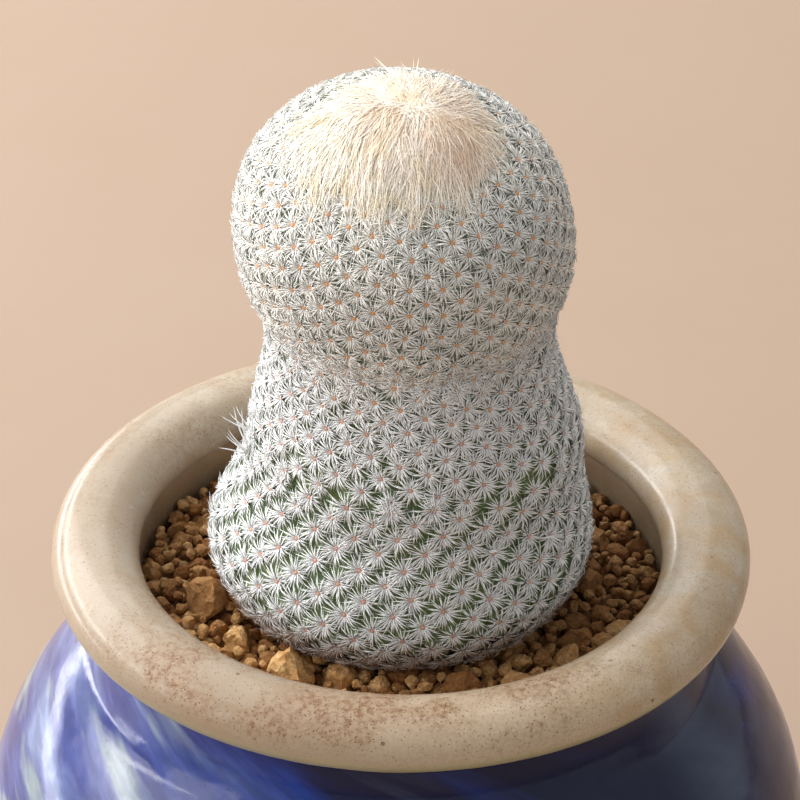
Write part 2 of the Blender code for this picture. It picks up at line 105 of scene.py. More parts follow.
# Loose grains of each size: their least and greatest size, how far the lowest and highest lie above the
# soil's level, all in millimetres, and how close they pack
LARGE_GRAINS = ((3.2, 4.8), (-0.9, 0.0), 0.86)
MEDIUM_GRAINS = ((1.8, 2.8), (-1.3, 0.1), 0.84)
SMALL_GRAINS = ((0.9, 1.8), (-1.6, 0.5), 0.8)
MEDIUM_COUNT = 360
GRAIN_SHAPES = 16

# Stem: each height from the root to the crown and the radius to the tips of the tubercles, in millimetres
STEM_PROFILE = (
    *((63.0, 3.0), (68.0, 10.6), (73.0, 14.6), (76.0, 18.2), (80.5, 19.9), (85.0, 18.9), (89.0, 17.5)),
    *((95.5, 16.7), (104.0, 14.6), (108.5, 14.9), (115.0, 16.8), (122.5, 16.1)),
    *((127.6, 12.5), (131.9, 5.8), (132.9, 0.0)),
)
# How far the axis of the stem stands to the right of the jar's at each height, in millimetres
STEM_SWAY = ((63.0, 0.0), (80.0, -0.1), (92.0, 1.3), (100.0, 0.9), (110.0, 0.4), (122.0, -0.5), (134.0, -1.3))
# The topmost tier leans forward, from one height to another, about a pivot inside it
NOD = math.radians(14)
NOD_PIVOT = 117.0 * MM
NOD_START = 105.0 * MM
NOD_END = 115.0 * MM
# Areoles: the skin that each has to itself, in square millimetres, at each height in millimetres
AREOLE_AREAS = ((75.0, 7.6), (90.0, 8.0), (94.5, 6.6), (100.0, 5.4), (110.0, 4.9), (122.0, 4.6), (134.0, 4.2))
# Each tier from the top down: where it ends, the turn from one areole to the next, which sets 26 rows that
# rise to the right, its needles' length as a share of the usual one, and the size of its buds of felt
TIERS = (
    ("head", 107.0 * MM, math.radians(207.43), 0.93, 0.3 * MM),
    ("middle", 94.5 * MM, math.radians(96.66), 0.98, 0.27 * MM),
    ("base", 74.0 * MM, math.radians(69.02), 1.12, 0.31 * MM),
)
BARE_CROWN = 5.0 * MM
# Tubercles: how far each peak and each hollow lies from the stem's form, and how far a peak's slope reaches
TUBERCLE_PEAK = 0.15 * MM
TUBERCLE_DEPTH = 0.8 * MM
TUBERCLE_REACH = 1.45 * MM
SKIN_COLUMNS = 264
SKIN_ROW = 0.45 * MM
# Rosettes: how far the needles rise and bend, in degrees, how long the high ones are as a share of the low
# ones, and how they all shorten towards the crown
LOW_RISE, HIGH_RISE, BEND = 11, 29, 11
HIGH_SHARE = 0.62
SHORTER = ((6 * MM, 14 * MM), (0.58, 1))
# Tufts of stray needles: the angle round the stem in degrees, the height in millimetres, how many there are,
# how long they are in millimetres, and how much they point upwards
STRAY_TUFTS = (
    (189.0, 91.2, 10, 5.6, 0.95),
    (186.0, 93.4, 7, 4.6, 0.8),
    (297.0, 88.5, 4, 3.0, 0.8),
    (318.0, 87.5, 5, 3.6, 0.6),
)
STRAY_WIDTH = 0.17 * MM

# Wool: how far its middle lies to the right of the crown, and how many millimetres it reaches from there
# towards each side, in degrees from the right
CROWN_SHIFT = 2.0 * MM
WOOL_EDGE = (
    *((0, 9.0), (40, 9.2), (75, 10.4), (110, 10.0), (135, 8.8), (155, 10.2)),
    *((178, 13.8), (205, 15.0), (235, 13.8), (265, 12.4), (300, 11.2), (330, 9.6)),
)
PAD_HEIGHT = 0.95 * MM
PAD_COLUMNS, PAD_ROWS = 160, 27
LOCK_WIDTH = 1.3 * MM
# The warm middle of the wool, and the thin patch where tan shows through, in millimetres
WOOL_CENTRE = (1.5, -3.0, 132.4)
THIN_WOOL = (5.2, -6.5, 131.0)

# Stage: the camera's place, and the lights by bearing and elevation in degrees, distance and size in metres,
# share of the window's power, colour, lean in degrees and shape
CAMERA_ELEVATION = 33.15
CAMERA_ROLL = 0.83
CAMERA_TARGET = (-0.31 * MM, 0, 96.61 * MM)
CAMERA_DISTANCE = 0.4
CAMERA_LENS = 171.36
FLOOR_HALF = 3.0
LIGHT_AIM = 70 * MM
LIGHTS = {
    "window_band": ((153, 20), 0.8, (1.5, 0.08), 0.5, (1.0, 0.98, 0.97), 12, "ELLIPSE"),
    "window_sill": ((143, -2), 0.6, (0.85, 0.06), 0.2, (0.97, 0.97, 1.0), 0, "ELLIPSE"),
    "window_glow": ((152, 34), 1.0, (1.1, 0.8), 1.9, (1.0, 0.98, 0.95), 0, "RECTANGLE"),
    "window_high": ((118, 52), 1.1, (1.3, 1.3), 1.8, (1.0, 0.98, 0.95), 0, "RECTANGLE"),
    "window_left": ((203, 22), 1.0, (0.5, 0.6), 0.62, (1.0, 0.98, 0.95), 0, "RECTANGLE"),
}


def display(red, green, blue):
    """A colour as a screen shows it, from 0 to 255, as the linear one that shaders use."""
    shares = (value / 255 for value in (red, green, blue))
    return tuple(s / 12.92 if s <= 0.04045 else ((s + 0.055) / 1.055) ** 2.4 for s in shares)


def colour_setting(name, description, default):
    return bpy.props.FloatVectorProperty(
        name=name, description=description, subtype="COLOR", size=3, min=0, max=1, default=default
    )


def length_setting(name, description, default):
    return bpy.props.FloatProperty(
        name=name, description=description, subtype="DISTANCE", unit="LENGTH", min=0, default=default
    )


def count_setting(name, description, default):
    return bpy.props.IntProperty(name=name, description=description, min=1, default=default)


def level_setting(name, description, default, subtype="NONE"):
    return bpy.props.FloatProperty(name=name, description=description, subtype=subtype, min=0, default=default)


class JarSettings(bpy.types.PropertyGroup):
    waviness: length_setting("Waviness", "How far the thrown wall strays from round", 0.18 * MM)
    cream: colour_setting("Lip glaze", "Cream glaze on the lip and throat", display(164, 151, 132))
    stain: colour_setting("Lip stain", "Brown stains and specks on the lip", display(104, 70, 48))
    navy: colour_setting("Dark body glaze", "Blue where the body glaze is thick", display(6, 18, 60))
    cobalt: colour_setting("Body glaze", "Blue where the body glaze is thinner", display(24, 54, 140))
    streak: colour_setting("Streaks", "Pale streaks in the body glaze", display(126, 144, 178))


class SoilSettings(bpy.types.PropertyGroup):
    large_grains: count_setting("Large grains", "Places drawn for grains over 3 mm", 32)
    small_grains: count_setting("Small grains", "Places drawn for grains of 1 to 2 mm", 1500)
    dark: colour_setting("Dark clay", "Colour of the darkest grains", display(146, 98, 56))
    light: colour_setting("Light clay", "Colour of the lightest grains", display(236, 190, 128))


class StemSettings(bpy.types.PropertyGroup):
    rays: count_setting("Needles", "Needles in each rosette", 43)
    needle_length: length_setting("Needle length", "Length of a needle on the lower tiers", 2.1 * MM)
    needle_width: length_setting("Needle width", "Width of a needle near its root", 0.21 * MM)
    skin: colour_setting("Skin", "Green of the tubercles", display(142, 160, 118))
    hollow: colour_setting("Hollows", "Green between the tubercles", display(90, 116, 68))
    needle: colour_setting("Needles", "White of the needles", display(253, 252, 248))
    areole: colour_setting("Areoles", "Tan at the middle of each rosette", display(220, 158, 104))


class WoolSettings(bpy.types.PropertyGroup):
    hairs: count_setting("Hairs", "Hairs on the crown", 9000)
    hair_length: length_setting("Hair length", "Length of a hair at the front", 7.5 * MM)
    pale: colour_setting("Pale wool", "Colour of the whitest hairs", display(255, 253, 248))
    warm: colour_setting("Warm wool", "Colour of the warmest hairs", display(251, 238, 216))


class StageSettings(bpy.types.PropertyGroup):
    floor: colour_setting("Floor", "Colour of the floor", display(159, 137, 119))
    window: level_setting("Window light", "Power of the light from the left", 5.5, "POWER")
    sky: level_setting("Ambient light", "Strength of the even light from all sides", 0.57)


class Finish:
    """Builds one material, with a short call for each kind of node that the finishes share."""

    def __init__(self, name):
        self.material = bpy.data.materials.new(name)
        self.material.use_nodes = True
        self.tree = self.material.node_tree
        self.shader = self.tree.nodes["Principled BSDF"]
        metres = self.add("ShaderNodeTexCoord").outputs["Object"]
        self.place = self.vector("MULTIPLY", metres, (1 / MM,) * 3).outputs[0]
        self.x, self.y, self.height = self.add("ShaderNodeSeparateXYZ", inputs={0: self.place}).outputs

    def add(self, kind, inputs=None, **settings):
        node = self.tree.nodes.new(kind)
        for name, value in settings.items():
            setattr(node, name, value)
        for key, value in (inputs or {}).items():
            self.set(node.inputs[key], value)
        return node

    def set(self, socket, value):
        if isinstance(value, bpy.types.NodeSocket):
            self.tree.links.new(value, socket)
        elif socket.type == "RGBA":
            socket.default_value = (*value, 1)
        else:
            socket.default_value = value

    def shade(self, **inputs):
        for name, value in inputs.items():
            self.set(self.shader.inputs[name.replace("_", " ")], value)
        return self.material

    def vector(self, operation, first, second):
        return self.add("ShaderNodeVectorMath", {0: first, 1: second}, operation=operation)

    def maths(self, operation, first, second):
        return self.add("ShaderNodeMath", {0: first, 1: second}, operation=operation).outputs[0]

    def times(self, first, *others):
        for other in others:
            first = self.maths("MULTIPLY", first, other)
        return first

    def plus(self, first, *others):
        for other in others:
            first = self.maths("ADD", first, other)
        return first

    def larger(self, first, second):
        return self.maths("MAXIMUM", first, second)

    def distance(self, point):
        """Millimetres from a point."""
        return self.vector("DISTANCE", self.place, point).outputs["Value"]

    def noise(self, size, detail=3.0, vector=None, roughness=0.5, distortion=0.0):
        """Even noise whose features are about this many millimetres across."""
        inputs = {"Vector": vector or self.place, "Scale": 1 / size}
        inputs.update({"Detail": detail, "Roughness": roughness, "Distortion": distortion})
        return self.add("ShaderNodeTexNoise", inputs).outputs[0]

    def cells(self, size):
        """How far each place is from the middle of its cell, as a share of the cells' size in millimetres."""
        return self.add("ShaderNodeTexVoronoi", {"Vector": self.place, "Scale": 1 / size}).outputs["Distance"]

    def combined(self, x, y, z=0.0):
        return self.add("ShaderNodeCombineXYZ", {0: x, 1: y, 2: z}).outputs[0]

    def ramp(self, value, low, high, to_low=0.0, to_high=1.0):
        """A smooth step from one level to another as the value goes from low to high."""
        inputs = {0: value, 1: low, 2: high, 3: to_low, 4: to_high}
        return self.add("ShaderNodeMapRange", inputs, interpolation_type="SMOOTHSTEP").outputs[0]

    def mix(self, share, first, second):
        return self.add("ShaderNodeMix", {0: share, 6: first, 7: second}, data_type="RGBA").outputs[2]

    def over(self, colour, *layers):
        """A colour with others laid over it, each given as its share and itself."""
        for share, layer in layers:
            colour = self.mix(share, colour, layer)
        return colour

    def attribute(self, name):
        return self.add("ShaderNodeAttribute", attribute_name=name).outputs["Fac"]

    def bump(self, height, depth, normal=None):
        """Relief from a height of 0 to 1 that stands for this many millimetres."""
        inputs = {"Height": height, "Distance": depth * MM, "Strength": 1.0}
        if normal:
            inputs["Normal"] = normal
        return self.add("ShaderNodeBump", inputs).outputs[0]


def glaze_finish(settings):
    """Cream lip and throat, streaky blue body, and bare clay under the foot."""
    f = Finish("jar_glaze")
    outside = f.attribute("outside")
    front = f.ramp(f.y, -12, -32)
    left = f.ramp(f.x, -9, -38)
    upper = f.times(f.ramp(f.height, 77.9, 80.0), f.ramp(front, 0, 1, 0.3, 1), f.ramp(f.x, 26, 2, 0.55, 1))
    above_edge = f.maths("SUBTRACT", f.height, f.plus(GLAZE_EDGE, f.noise(7, 4)))

    # Lip: mottled cream, tan at the front and ochre at the right and in the throat, with clouds of brown stain
    # and fine specks on its upper slope. The tan is darker on the left and lighter on the right, and the far
    # left is greyer: painted shade on the left and painted light on the right
    # Painted shade and light: the front's tan darker towards the left and lighter towards the right
    tan = f.mix(f.ramp(f.x, -24, 20), display(147, 128, 109), display(202, 181, 156))
    ochre = f.times(f.ramp(f.x, 8, 30), f.ramp(f.noise(4, 4), 0.42, 0.66, 0.1, 0.55))
    throat = f.times(f.ramp(f.height, 78, 75.5), f.ramp(outside, 0.6, 0.4, 0, 0.4))
    clouds = f.times(upper, f.ramp(f.noise(7, 4, roughness=0.6), 0.4, 0.64))
    grains = f.ramp(f.noise(0.7, 5, roughness=0.7), 0.4, 0.66)
    specked = f.plus(f.times(f.plus(f.times(clouds, 0.55), f.times(upper, 0.25)), 0.13), 0.03)
    specks = f.ramp(f.maths("SUBTRACT", f.cells(0.42), specked), 0.14, 0.06)
    spots = f.times(f.ramp(f.cells(2.6), 0.11, 0.06), f.ramp(f.noise(5), 0.5, 0.6))
    cream = f.over(
        settings.cream,
        (f.ramp(f.noise(6, 5), 0.3, 0.7), display(182, 173, 157)),
        (f.ramp(f.noise(3.2, 3), 0.52, 0.75, 0, 0.5), display(162, 144, 118)),
        (f.times(front, 0.8), tan),
        # Painted shade: the far left of the lip greyer and darker
        (f.ramp(f.x, -18, -32, 0, 0.6), display(150, 136, 121)),
        (f.larger(ochre, throat), display(170, 138, 92)),
        (f.ramp(f.noise(0.3, 3), 0.38, 0.62, 0.3, 0), display(156, 132, 106)),
        (f.times(clouds, 0.4), display(154, 126, 92)),
        (f.times(clouds, grains, 0.9), display(116, 74, 42)),
        (f.times(specks, 0.75), settings.stain),
        (f.times(spots, 0.7), display(96, 62, 44)),
        (f.times(f.ramp(above_edge, 2.0, 0.3, 0, 0.8), outside), display(172, 168, 128)),
    )

    # Body: washes of blue that fall to the right, paler on the left and darker on the right: partly thinner
    # and thicker glaze, partly painted light on the left, where the light comes from, and painted shade on the
    # right
    fall = f.plus(f.height, f.times(f.x, 0.55))
    tilted = f.combined(f.x, f.y, f.times(fall, 4.5))
    wash = f.noise(26, 3, tilted, distortion=0.5)
    # Pale blue of thinner glaze, which the lit left also gets as painted light
    thin = f.mix(f.ramp(wash, 0.4, 0.6), display(70, 76, 132), display(98, 108, 154))
    pale_wash = f.noise(30, 3, f.vector("ADD", tilted, (90, 30, 0)).outputs[0], distortion=0.7)
    side = f.maths("ARCTAN2", f.y, f.x)
    # Painted reflection: a soft grey-blue sheen on the front right of the body
    painted_sheen = f.times(f.ramp(side, -0.68, -0.42), f.ramp(side, -0.24, -0.4))
    painted_sheen = f.times(painted_sheen, f.ramp(f.noise(9, 3, tilted), 0.3, 0.7, 0.35, 0.75))
    blue = f.over(
        settings.navy,
        # Painted light and shade: more cobalt towards the left and navy towards the right, and the pale blue,
        # the pale streaks and the green wash laid mostly on the lit left
        (f.ramp(f.plus(wash, f.ramp(f.x, 10, -16, -0.16, 0.14)), 0.36, 0.64), settings.cobalt),
        (f.times(left, 0.85), thin),
        (f.times(f.ramp(pale_wash, 0.5, 0.66), f.ramp(left, 0, 1, 0.12, 0.8)), settings.streak),
        (f.times(f.ramp(f.noise(22, 3, tilted), 0.54, 0.66), left, 0.7), display(154, 172, 164)),
        (f.ramp(f.noise(6, 4, tilted), 0.42, 0.62, 0.3, 0), display(12, 20, 62)),
        (painted_sheen, display(62, 76, 104)),
        # Painted shade: navy on the body just under the lip, stronger away from the lit left
        (f.times(f.ramp(f.height, 69, 74), f.ramp(left, 0, 1, 0.8, 0.35)), settings.navy),
        (f.times(f.ramp(f.cells(7.5), 0.085, 0.05), f.ramp(f.noise(20), 0.5, 0.56)), display(176, 146, 92)),
    )

    is_lip = f.larger(f.ramp(above_edge, -0.06, 0.12), f.ramp(outside, 0.6, 0.4))
    chipped = f.ramp(f.plus(f.distance(LIP_CHIP), f.times(f.noise(0.5), 0.5)), 0.8, 0.55)
    bare = f.ramp(f.maths("SUBTRACT", f.height, f.times(f.noise(5), 1.6)), 1.4, 1.15)
    grit = f.ramp(f.noise(0.42, 4, roughness=0.7), 0.35, 0.65)
    edge_line = f.times(f.ramp(above_edge, -0.5, -0.05), f.ramp(above_edge, 0.15, 0.0), outside)
    colour = f.over(
        blue,
        (is_lip, cream),
        (edge_line, display(14, 22, 60)),
        (chipped, display(52, 56, 62)),
        (bare, f.mix(grit, display(150, 118, 90), display(188, 158, 124))),
    )
    smears = f.ramp(f.noise(2.2, 4), 0.35, 0.7)
    gloss = f.plus(f.times(is_lip, 0.06), f.times(smears, 0.1), f.times(clouds, 0.2), 0.1)
    normal = f.bump(f.noise(8, 2), 0.1)
    normal = f.bump(f.noise(0.9, 2), 0.01, normal)
    normal = f.bump(f.plus(specks, bare, chipped), 0.03, normal)
    return f.shade(Base_Color=colour, Roughness=f.larger(gloss, f.times(bare, 0.85)), Normal=normal, IOR=1.4)


def clay_finish(settings, name, shaded_bed=False):
    """Dry baked clay, each grain with its own tone, pits and dust, with painted shade towards the right, the
    back and the far left, and on the bed under the loose grains.
    """
    f = Finish(name)
    tone = f.noise(4, 2) if shaded_bed else f.attribute("tone")
    mottle = f.noise(0.7, 5, roughness=0.65)
    dusty = f.times(f.ramp(f.noise(0.35, 3), 0.52, 0.66), f.ramp(tone, 0.3, 1, 0.1, 0.7))
    # Painted shade: grains darker towards the right and the back, and at the far left
    painted_shade = f.times(f.ramp(f.x, -14, 16), f.ramp(f.y, -22, -4, 0.2, 0.7))
    clay = f.over(
        settings.dark,
        (f.ramp(tone, 0, 1), settings.light),
        (f.ramp(mottle, 0.35, 0.62, 0.45, 0), display(128, 80, 42)),
        (dusty, display(240, 212, 168)),
        (f.ramp(f.noise(1.6, 3), 0.56, 0.7, 0, 0.55), display(202, 138, 76)),
        (f.larger(painted_shade, f.ramp(f.x, -18, -25, 0, 0.45)), display(92, 58, 30)),
    )
    if shaded_bed:
        # Painted shade: the bed under the loose grains darkened to stand for the shade between them
        clay = f.mix(0.55, clay, display(44, 26, 14))
    pits = f.plus(f.noise(0.5, 5, roughness=0.75), f.times(f.cells(0.6), 0.3))
    rough = f.ramp(mottle, 0.3, 0.7, 0.85, 1)
    return f.shade(Base_Color=clay, Roughness=rough, Normal=f.bump(pits, 0.16), Specular_IOR_Level=0.25)


def skin_finish(settings):
    """Green skin, darker in the hollows as painted shade, felted on the head and corky near the soil."""
    f = Finish("green_skin")
    corky = f.ramp(f.plus(f.height, f.times(f.noise(4), 5)), 82, 77)
    green = f.over(
        settings.skin,
        # Painted shade: a darker green in the hollows between the tubercles
        (f.ramp(f.attribute("hollow"), 0.15, 0.85), settings.hollow),
        (f.ramp(f.plus(f.height, f.noise(4)), 100, 109, 0, 0.75), display(176, 184, 168)),
        (f.ramp(f.noise(5, 3), 0.42, 0.65, 0, 0.4), display(122, 136, 62)),
        (f.ramp(f.noise(0.5, 3), 0.5, 0.7, 0, 0.35), display(150, 168, 128)),
        (f.times(corky, 0.75), display(126, 98, 72)),
    )
    rough = f.ramp(f.noise(0.6), 0.3, 0.7, 0.42, 0.62)
    return f.shade(Base_Color=green, Roughness=rough, Normal=f.bump(f.noise(0.22, 3), 0.04))


def needle_finish(settings):
    """White needles, tan or pink at their roots, and browner and darker near the grains."""
    f = Finish("needles")
    tone = f.attribute("tone")
    pink = f.mix(f.noise(3), display(214, 168, 146), display(196, 140, 116))
    root = f.mix(f.ramp(f.height, 99, 108), pink, settings.areole)
    # Browner and darker towards the grains
    browner_near_soil = f.ramp(f.plus(f.height, f.times(f.noise(5), 6)), 83.5, 78.5, 0, 0.62)
    colour = f.over(
        display(240, 241, 238),
        (tone, settings.needle),
        (f.ramp(f.noise(7, 3), 0.4, 0.62, 0.3, 0), display(216, 222, 226)),
        (f.ramp(f.height, 112, 101, 0, 0.75), display(244, 247, 251)),
        (f.ramp(f.attribute("along"), 0.02, 0.24, 0.95, 0), root),
        (browner_near_soil, display(150, 116, 96)),
    )
    return f.shade(Base_Color=colour, Roughness=f.ramp(tone, 0, 1, 0.38, 0.6), Specular_IOR_Level=0.4)


def wool_finish(settings, name, pad=False):
    """Silky cream hairs, each with its own tone, warmer towards their tips and round the wool's middle."""
    f = Finish(name)
    if pad:
        tone = f.noise(0.16, 3, f.combined(f.attribute("strand"), f.times(f.y, 0.12)))
    else:
        tone = f.attribute("tone")
    middle = f.times(f.ramp(f.distance(WOOL_CENTRE), 11, 5), f.ramp(f.noise(2.6, 3), 0.38, 0.58, 0.12, 0.45))
    thin = f.times(f.ramp(f.distance(THIN_WOOL), 6.5, 2), f.ramp(f.noise(1.4, 3), 0.35, 0.6, 0.35, 0.75))
    colour = f.over(
        settings.warm,
        (f.ramp(tone, 0.1, 0.9), settings.pale),
        (f.ramp(f.noise(3.4, 3), 0.5, 0.66, 0, 0.45), display(248, 230, 188)),
        (f.larger(middle, thin), display(230, 200, 174)),
    )
    if not pad:
        colour = f.mix(f.ramp(f.attribute("along"), 0.45, 1, 0, 0.45), colour, settings.warm)
    f.shade(Roughness=f.ramp(tone, 0, 1, 0.5, 0.7), Normal=f.bump(tone if pad else f.noise(0.3, 3), 0.08))
    return f.shade(Base_Color=colour, Sheen_Weight=0.7, Specular_IOR_Level=0.35)


def net_finish():
    """Black moulded plastic with a fine grain and dust."""
    f = Finish("net_plastic")
    dust = f.ramp(f.noise(0.8, 4), 0.5, 0.7, 0, 0.35)
    colour = f.mix(dust, display(26, 26, 28), display(120, 98, 76))
    rough = f.ramp(f.noise(0.5), 0.3, 0.7, 0.42, 0.66)
    return f.shade(Base_Color=colour, Roughness=rough, Normal=f.bump(f.noise(0.25, 2), 0.03))


def floor_finish(settings):
    f = Finish("floor")
    grain = f.times(f.ramp(f.noise(900, 3), 0.3, 0.7), 0.35)
    colour = f.mix(grain, settings.floor, display(167, 148, 131))
    return f.shade(Base_Color=colour, Roughness=f.ramp(f.noise(40), 0.3, 0.7, 0.6, 0.75))


def smooth_curve(points, steps):
    """Points on a Catmull-Rom curve through the given ones."""
    points = np.array(points)
    ends = np.vstack([2 * points[0] - points[1], points, 2 * points[-1] - points[-2]])
    t = np.arange(steps)[:, None] / steps
    found = []
    for before, start, end, after in zip(ends, ends[1:], ends[2:], ends[3:]):
        second = 2 * before - 5 * start + 4 * end - after
        third = 3 * start - before - 3 * end + after
        found.append(0.5 * (2 * start + (end - before) * t + second * t**2 + third * t**3))
    return np.vstack([*found, points[-1:]])


def unit(vectors):
    return vectors / np.maximum(np.linalg.norm(vectors, axis=-1, keepdims=True), 1e-12)


def between(value, low, high):
    """How far a value is on the way from low to high, from 0 to 1."""
    return np.clip((value - low) / (high - low), 0, 1)


def eased(share):
    return share**2 * (3 - 2 * share)


def turned(radius, height, angle):
    """A grid of points at each radius, height and angle round the jar's axis."""
    return np.stack(np.broadcast_arrays(radius * np.cos(angle), radius * np.sin(angle), height), axis=-1)


def turn_steps(count):
    return np.linspace(0, 2 * math.pi, count, endpoint=False)


class StemForm:
    """The stem's outer form: a turned profile whose axis sways and whose head nods forward.

    A place on it is an angle round the axis and a reach, measured along the skin from the crown.
    """

    def __init__(self):
        profile = smooth_curve(np.array(STEM_PROFILE)[:, ::-1] * MM, 24)[::-1]
        self.sway = smooth_curve(np.array(STEM_SWAY) * MM, 12)
        self.radii = np.maximum(profile[:, 0], 0)
        self.heights = profile[:, 1]
        lengths = np.linalg.norm(np.diff(profile, axis=0), axis=1)
        radius = np.maximum((profile[1:, 0] + profile[:-1, 0]) / 2, lengths / 2)
        self.reach = np.concatenate([[0], np.cumsum(lengths)])
        self.area = np.concatenate([[0], np.cumsum(2 * math.pi * radius * lengths)])
        self.spread = np.concatenate([[0], np.cumsum(lengths / radius)])

    def reach_at(self, height):
        return np.interp(-height, -self.heights, self.reach)

    def radius_at(self, height):
        return np.interp(-height, -self.heights, self.radii)

    def radius_at_reach(self, reach):
        return np.interp(reach, self.reach, self.radii)

    def section(self, reach):
        """(radius, height) of the profile at these reaches."""
        return np.stack([self.radius_at_reach(reach), np.interp(reach, self.reach, self.heights)], axis=-1)

    def flat(self, angle, reach):
        """The place on a flat disc that keeps the skin's angles, with the crown at its centre."""
        size = np.exp(np.interp(reach, self.reach, self.spread))
        return np.stack([size * np.cos(angle), size * np.sin(angle)], axis=-1)

    def on_crown(self, angle, reach):
        """(angle, reach) of a place given round the middle of the wool, which is right of the crown."""
        place = self.flat(angle, reach) + self.flat(0.0, CROWN_SHIFT)
        spread = np.log(np.maximum(np.linalg.norm(place, axis=-1), 1.0))
        return np.arctan2(place[..., 1], place[..., 0]), np.interp(spread, self.spread, self.reach)

    def clear_of_wool(self, angle, reach, distance):
        """Whether a place is further than this from the middle of the wool."""
        away = self.flat(angle, reach) - self.flat(0.0, CROWN_SHIFT)
        return np.linalg.norm(away, axis=-1) > np.linalg.norm(self.flat(0.0, distance))

    def point(self, angle, reach, lift=0.0):
        """The points above the skin by lift, at these angles and reaches."""
        angle, reach, lift = np.broadcast_arrays(angle, reach, lift)
        step = 0.05 * MM
        slope = unit(self.section(reach + step) - self.section(reach - step))
        radius, height = np.moveaxis(self.section(reach), -1, 0)
        radius = radius - slope[..., 1] * lift
        height = height + slope[..., 0] * lift
        sway = np.interp(height, self.sway[:, 0], self.sway[:, 1])
        x, y = radius * np.cos(angle) + sway, radius * np.sin(angle)
        nod = NOD * eased(between(height, NOD_START, NOD_END))
        above = height - NOD_PIVOT
        forward = y * np.cos(nod) - above * np.sin(nod)
        return np.stack([x, forward, NOD_PIVOT + y * np.sin(nod) + above * np.cos(nod)], axis=-1)

    def frame(self, angle, reach):
        """The outward directions, and two along the skin: round the axis, and towards the root."""
        here = self.point(angle, reach)
        round_axis = unit(self.point(angle + 0.02, reach) - here)
        down = unit(self.point(angle, reach + 0.3 * MM) - here)
        return unit(np.cross(down, round_axis)), round_axis, down

    def outward(self, angle, reach):
        return unit(self.point(angle, reach, 0.1 * MM) - self.point(angle, reach))


STEM = StemForm()


def piece(name, points, faces, finish, node, slot, smooth=True, **values):
    """A finished mesh of the given faces that stands for a solid. Values are kept at its points."""
    mesh = bpy.data.meshes.new(name)
    mesh.from_pydata(points.tolist(), [], faces if isinstance(faces, list) else faces.tolist())
    for key, numbers in values.items():
        kept = mesh.attributes.new(key, "FLOAT", "POINT")
        kept.data.foreach_set("value", np.asarray(numbers, np.float32).ravel())
    mesh.polygons.foreach_set("use_smooth", [smooth] * len(mesh.polygons))
    mesh.materials.append(finish)
    made = bpy.data.objects.new(name, mesh)
    bpy.context.scene.collection.objects.link(made)
    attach(made, "root")
    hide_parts(node)
    return made


def grid_faces(rows, columns, closed_rows=False):
    """Quads between the points of a grid whose columns close on themselves."""
    row = np.arange(rows if closed_rows else rows - 1)[:, None] * columns
    column = np.arange(columns)[None, :]
    row_after, column_after = (row + columns) % (rows * columns), (column + 1) % columns
    corners = (row + column, row_after + column, row_after + column_after, row + column_after)
    return np.stack(np.broadcast_arrays(*corners), axis=-1).reshape(-1, 4)


def strands(paths, widths, outward):
    """Three-sided strands along paths to their tips: points, triangles, and how far along each point is."""
    count, places = paths.shape[:2]
    along = unit(np.gradient(paths, axis=1))
    side = unit(np.cross(along, outward[:, None, :]))
    top = np.cross(side, along)
    corners = ((-1.0, 0.0), (0.5, 0.87), (0.5, -0.87))
    rings = np.stack([top * up + side * across for up, across in corners], axis=2)
    rings = paths[:, :-1, None] + rings[:, :-1] * widths[:, :-1, None, None] / 2
    points = np.concatenate([rings.reshape(count, -1, 3), paths[:, -1:]], axis=1)
    faces = [(0, 1, 2)]
    for ring in range(places - 2):
        for a, b in ((0, 1), (1, 2), (2, 0)):
            low, high = 3 * ring, 3 * ring + 3
            faces += [(low + b, low + a, high + a), (low + b, high + a, high + b)]
    last, tip = 3 * (places - 2), 3 * (places - 1)
    faces += [(last + b, last + a, tip) for a, b in ((0, 1), (1, 2), (2, 0))]
    each = points.shape[1]
    faces = np.array(faces)[None] + np.arange(count)[:, None, None] * each
    share = np.repeat(np.arange(places) / (places - 1), 3)[:each]
    return points.reshape(-1, 3), faces.reshape(-1, 3), np.tile(share, count)


def together(parts):
    """One mesh's points, faces and values from several."""
    points, faces, values, before = [], [], [], 0
    for part_points, part_faces, *part_values in parts:
        points.append(part_points)
        faces.append(part_faces + before)
        values.append(part_values)
        before += len(part_points)
    return np.concatenate(points), np.concatenate(faces), *(np.concatenate(v) for v in zip(*values))


def arc(centre, half_width, half_height, start, end, steps):
    """(radius, height) points on an ellipse, with angles in degrees from its outer side upwards."""
    angles = np.radians(np.linspace(start, end, steps + 1))
    return [(centre[0] + half_width * math.cos(a), centre[1] + half_height * math.sin(a)) for a in angles]


def angle_at(radius, half_width):
    return math.degrees(math.acos(radius / half_width))


def bore(gap, steps):
    """The jar's inner side from the neck down to the floor, moved inwards by a gap."""
    belly = (0, BELLY_PLANE)
    half_width = BELLY_RADIUS - WALL - gap
    bowl = BOWL_HEIGHT - BOWL_WALL - gap
    top = angle_at(THROAT_RADIUS - gap, half_width)
    bottom = -math.degrees(math.asin((BELLY_PLANE - FLOOR_TOP - gap) / bowl))
    upper = arc(belly, half_width, SHOULDER_HEIGHT - WALL - gap, top, 0, steps)
    return upper + arc(belly, half_width, bowl, 0, bottom, steps)[1:]


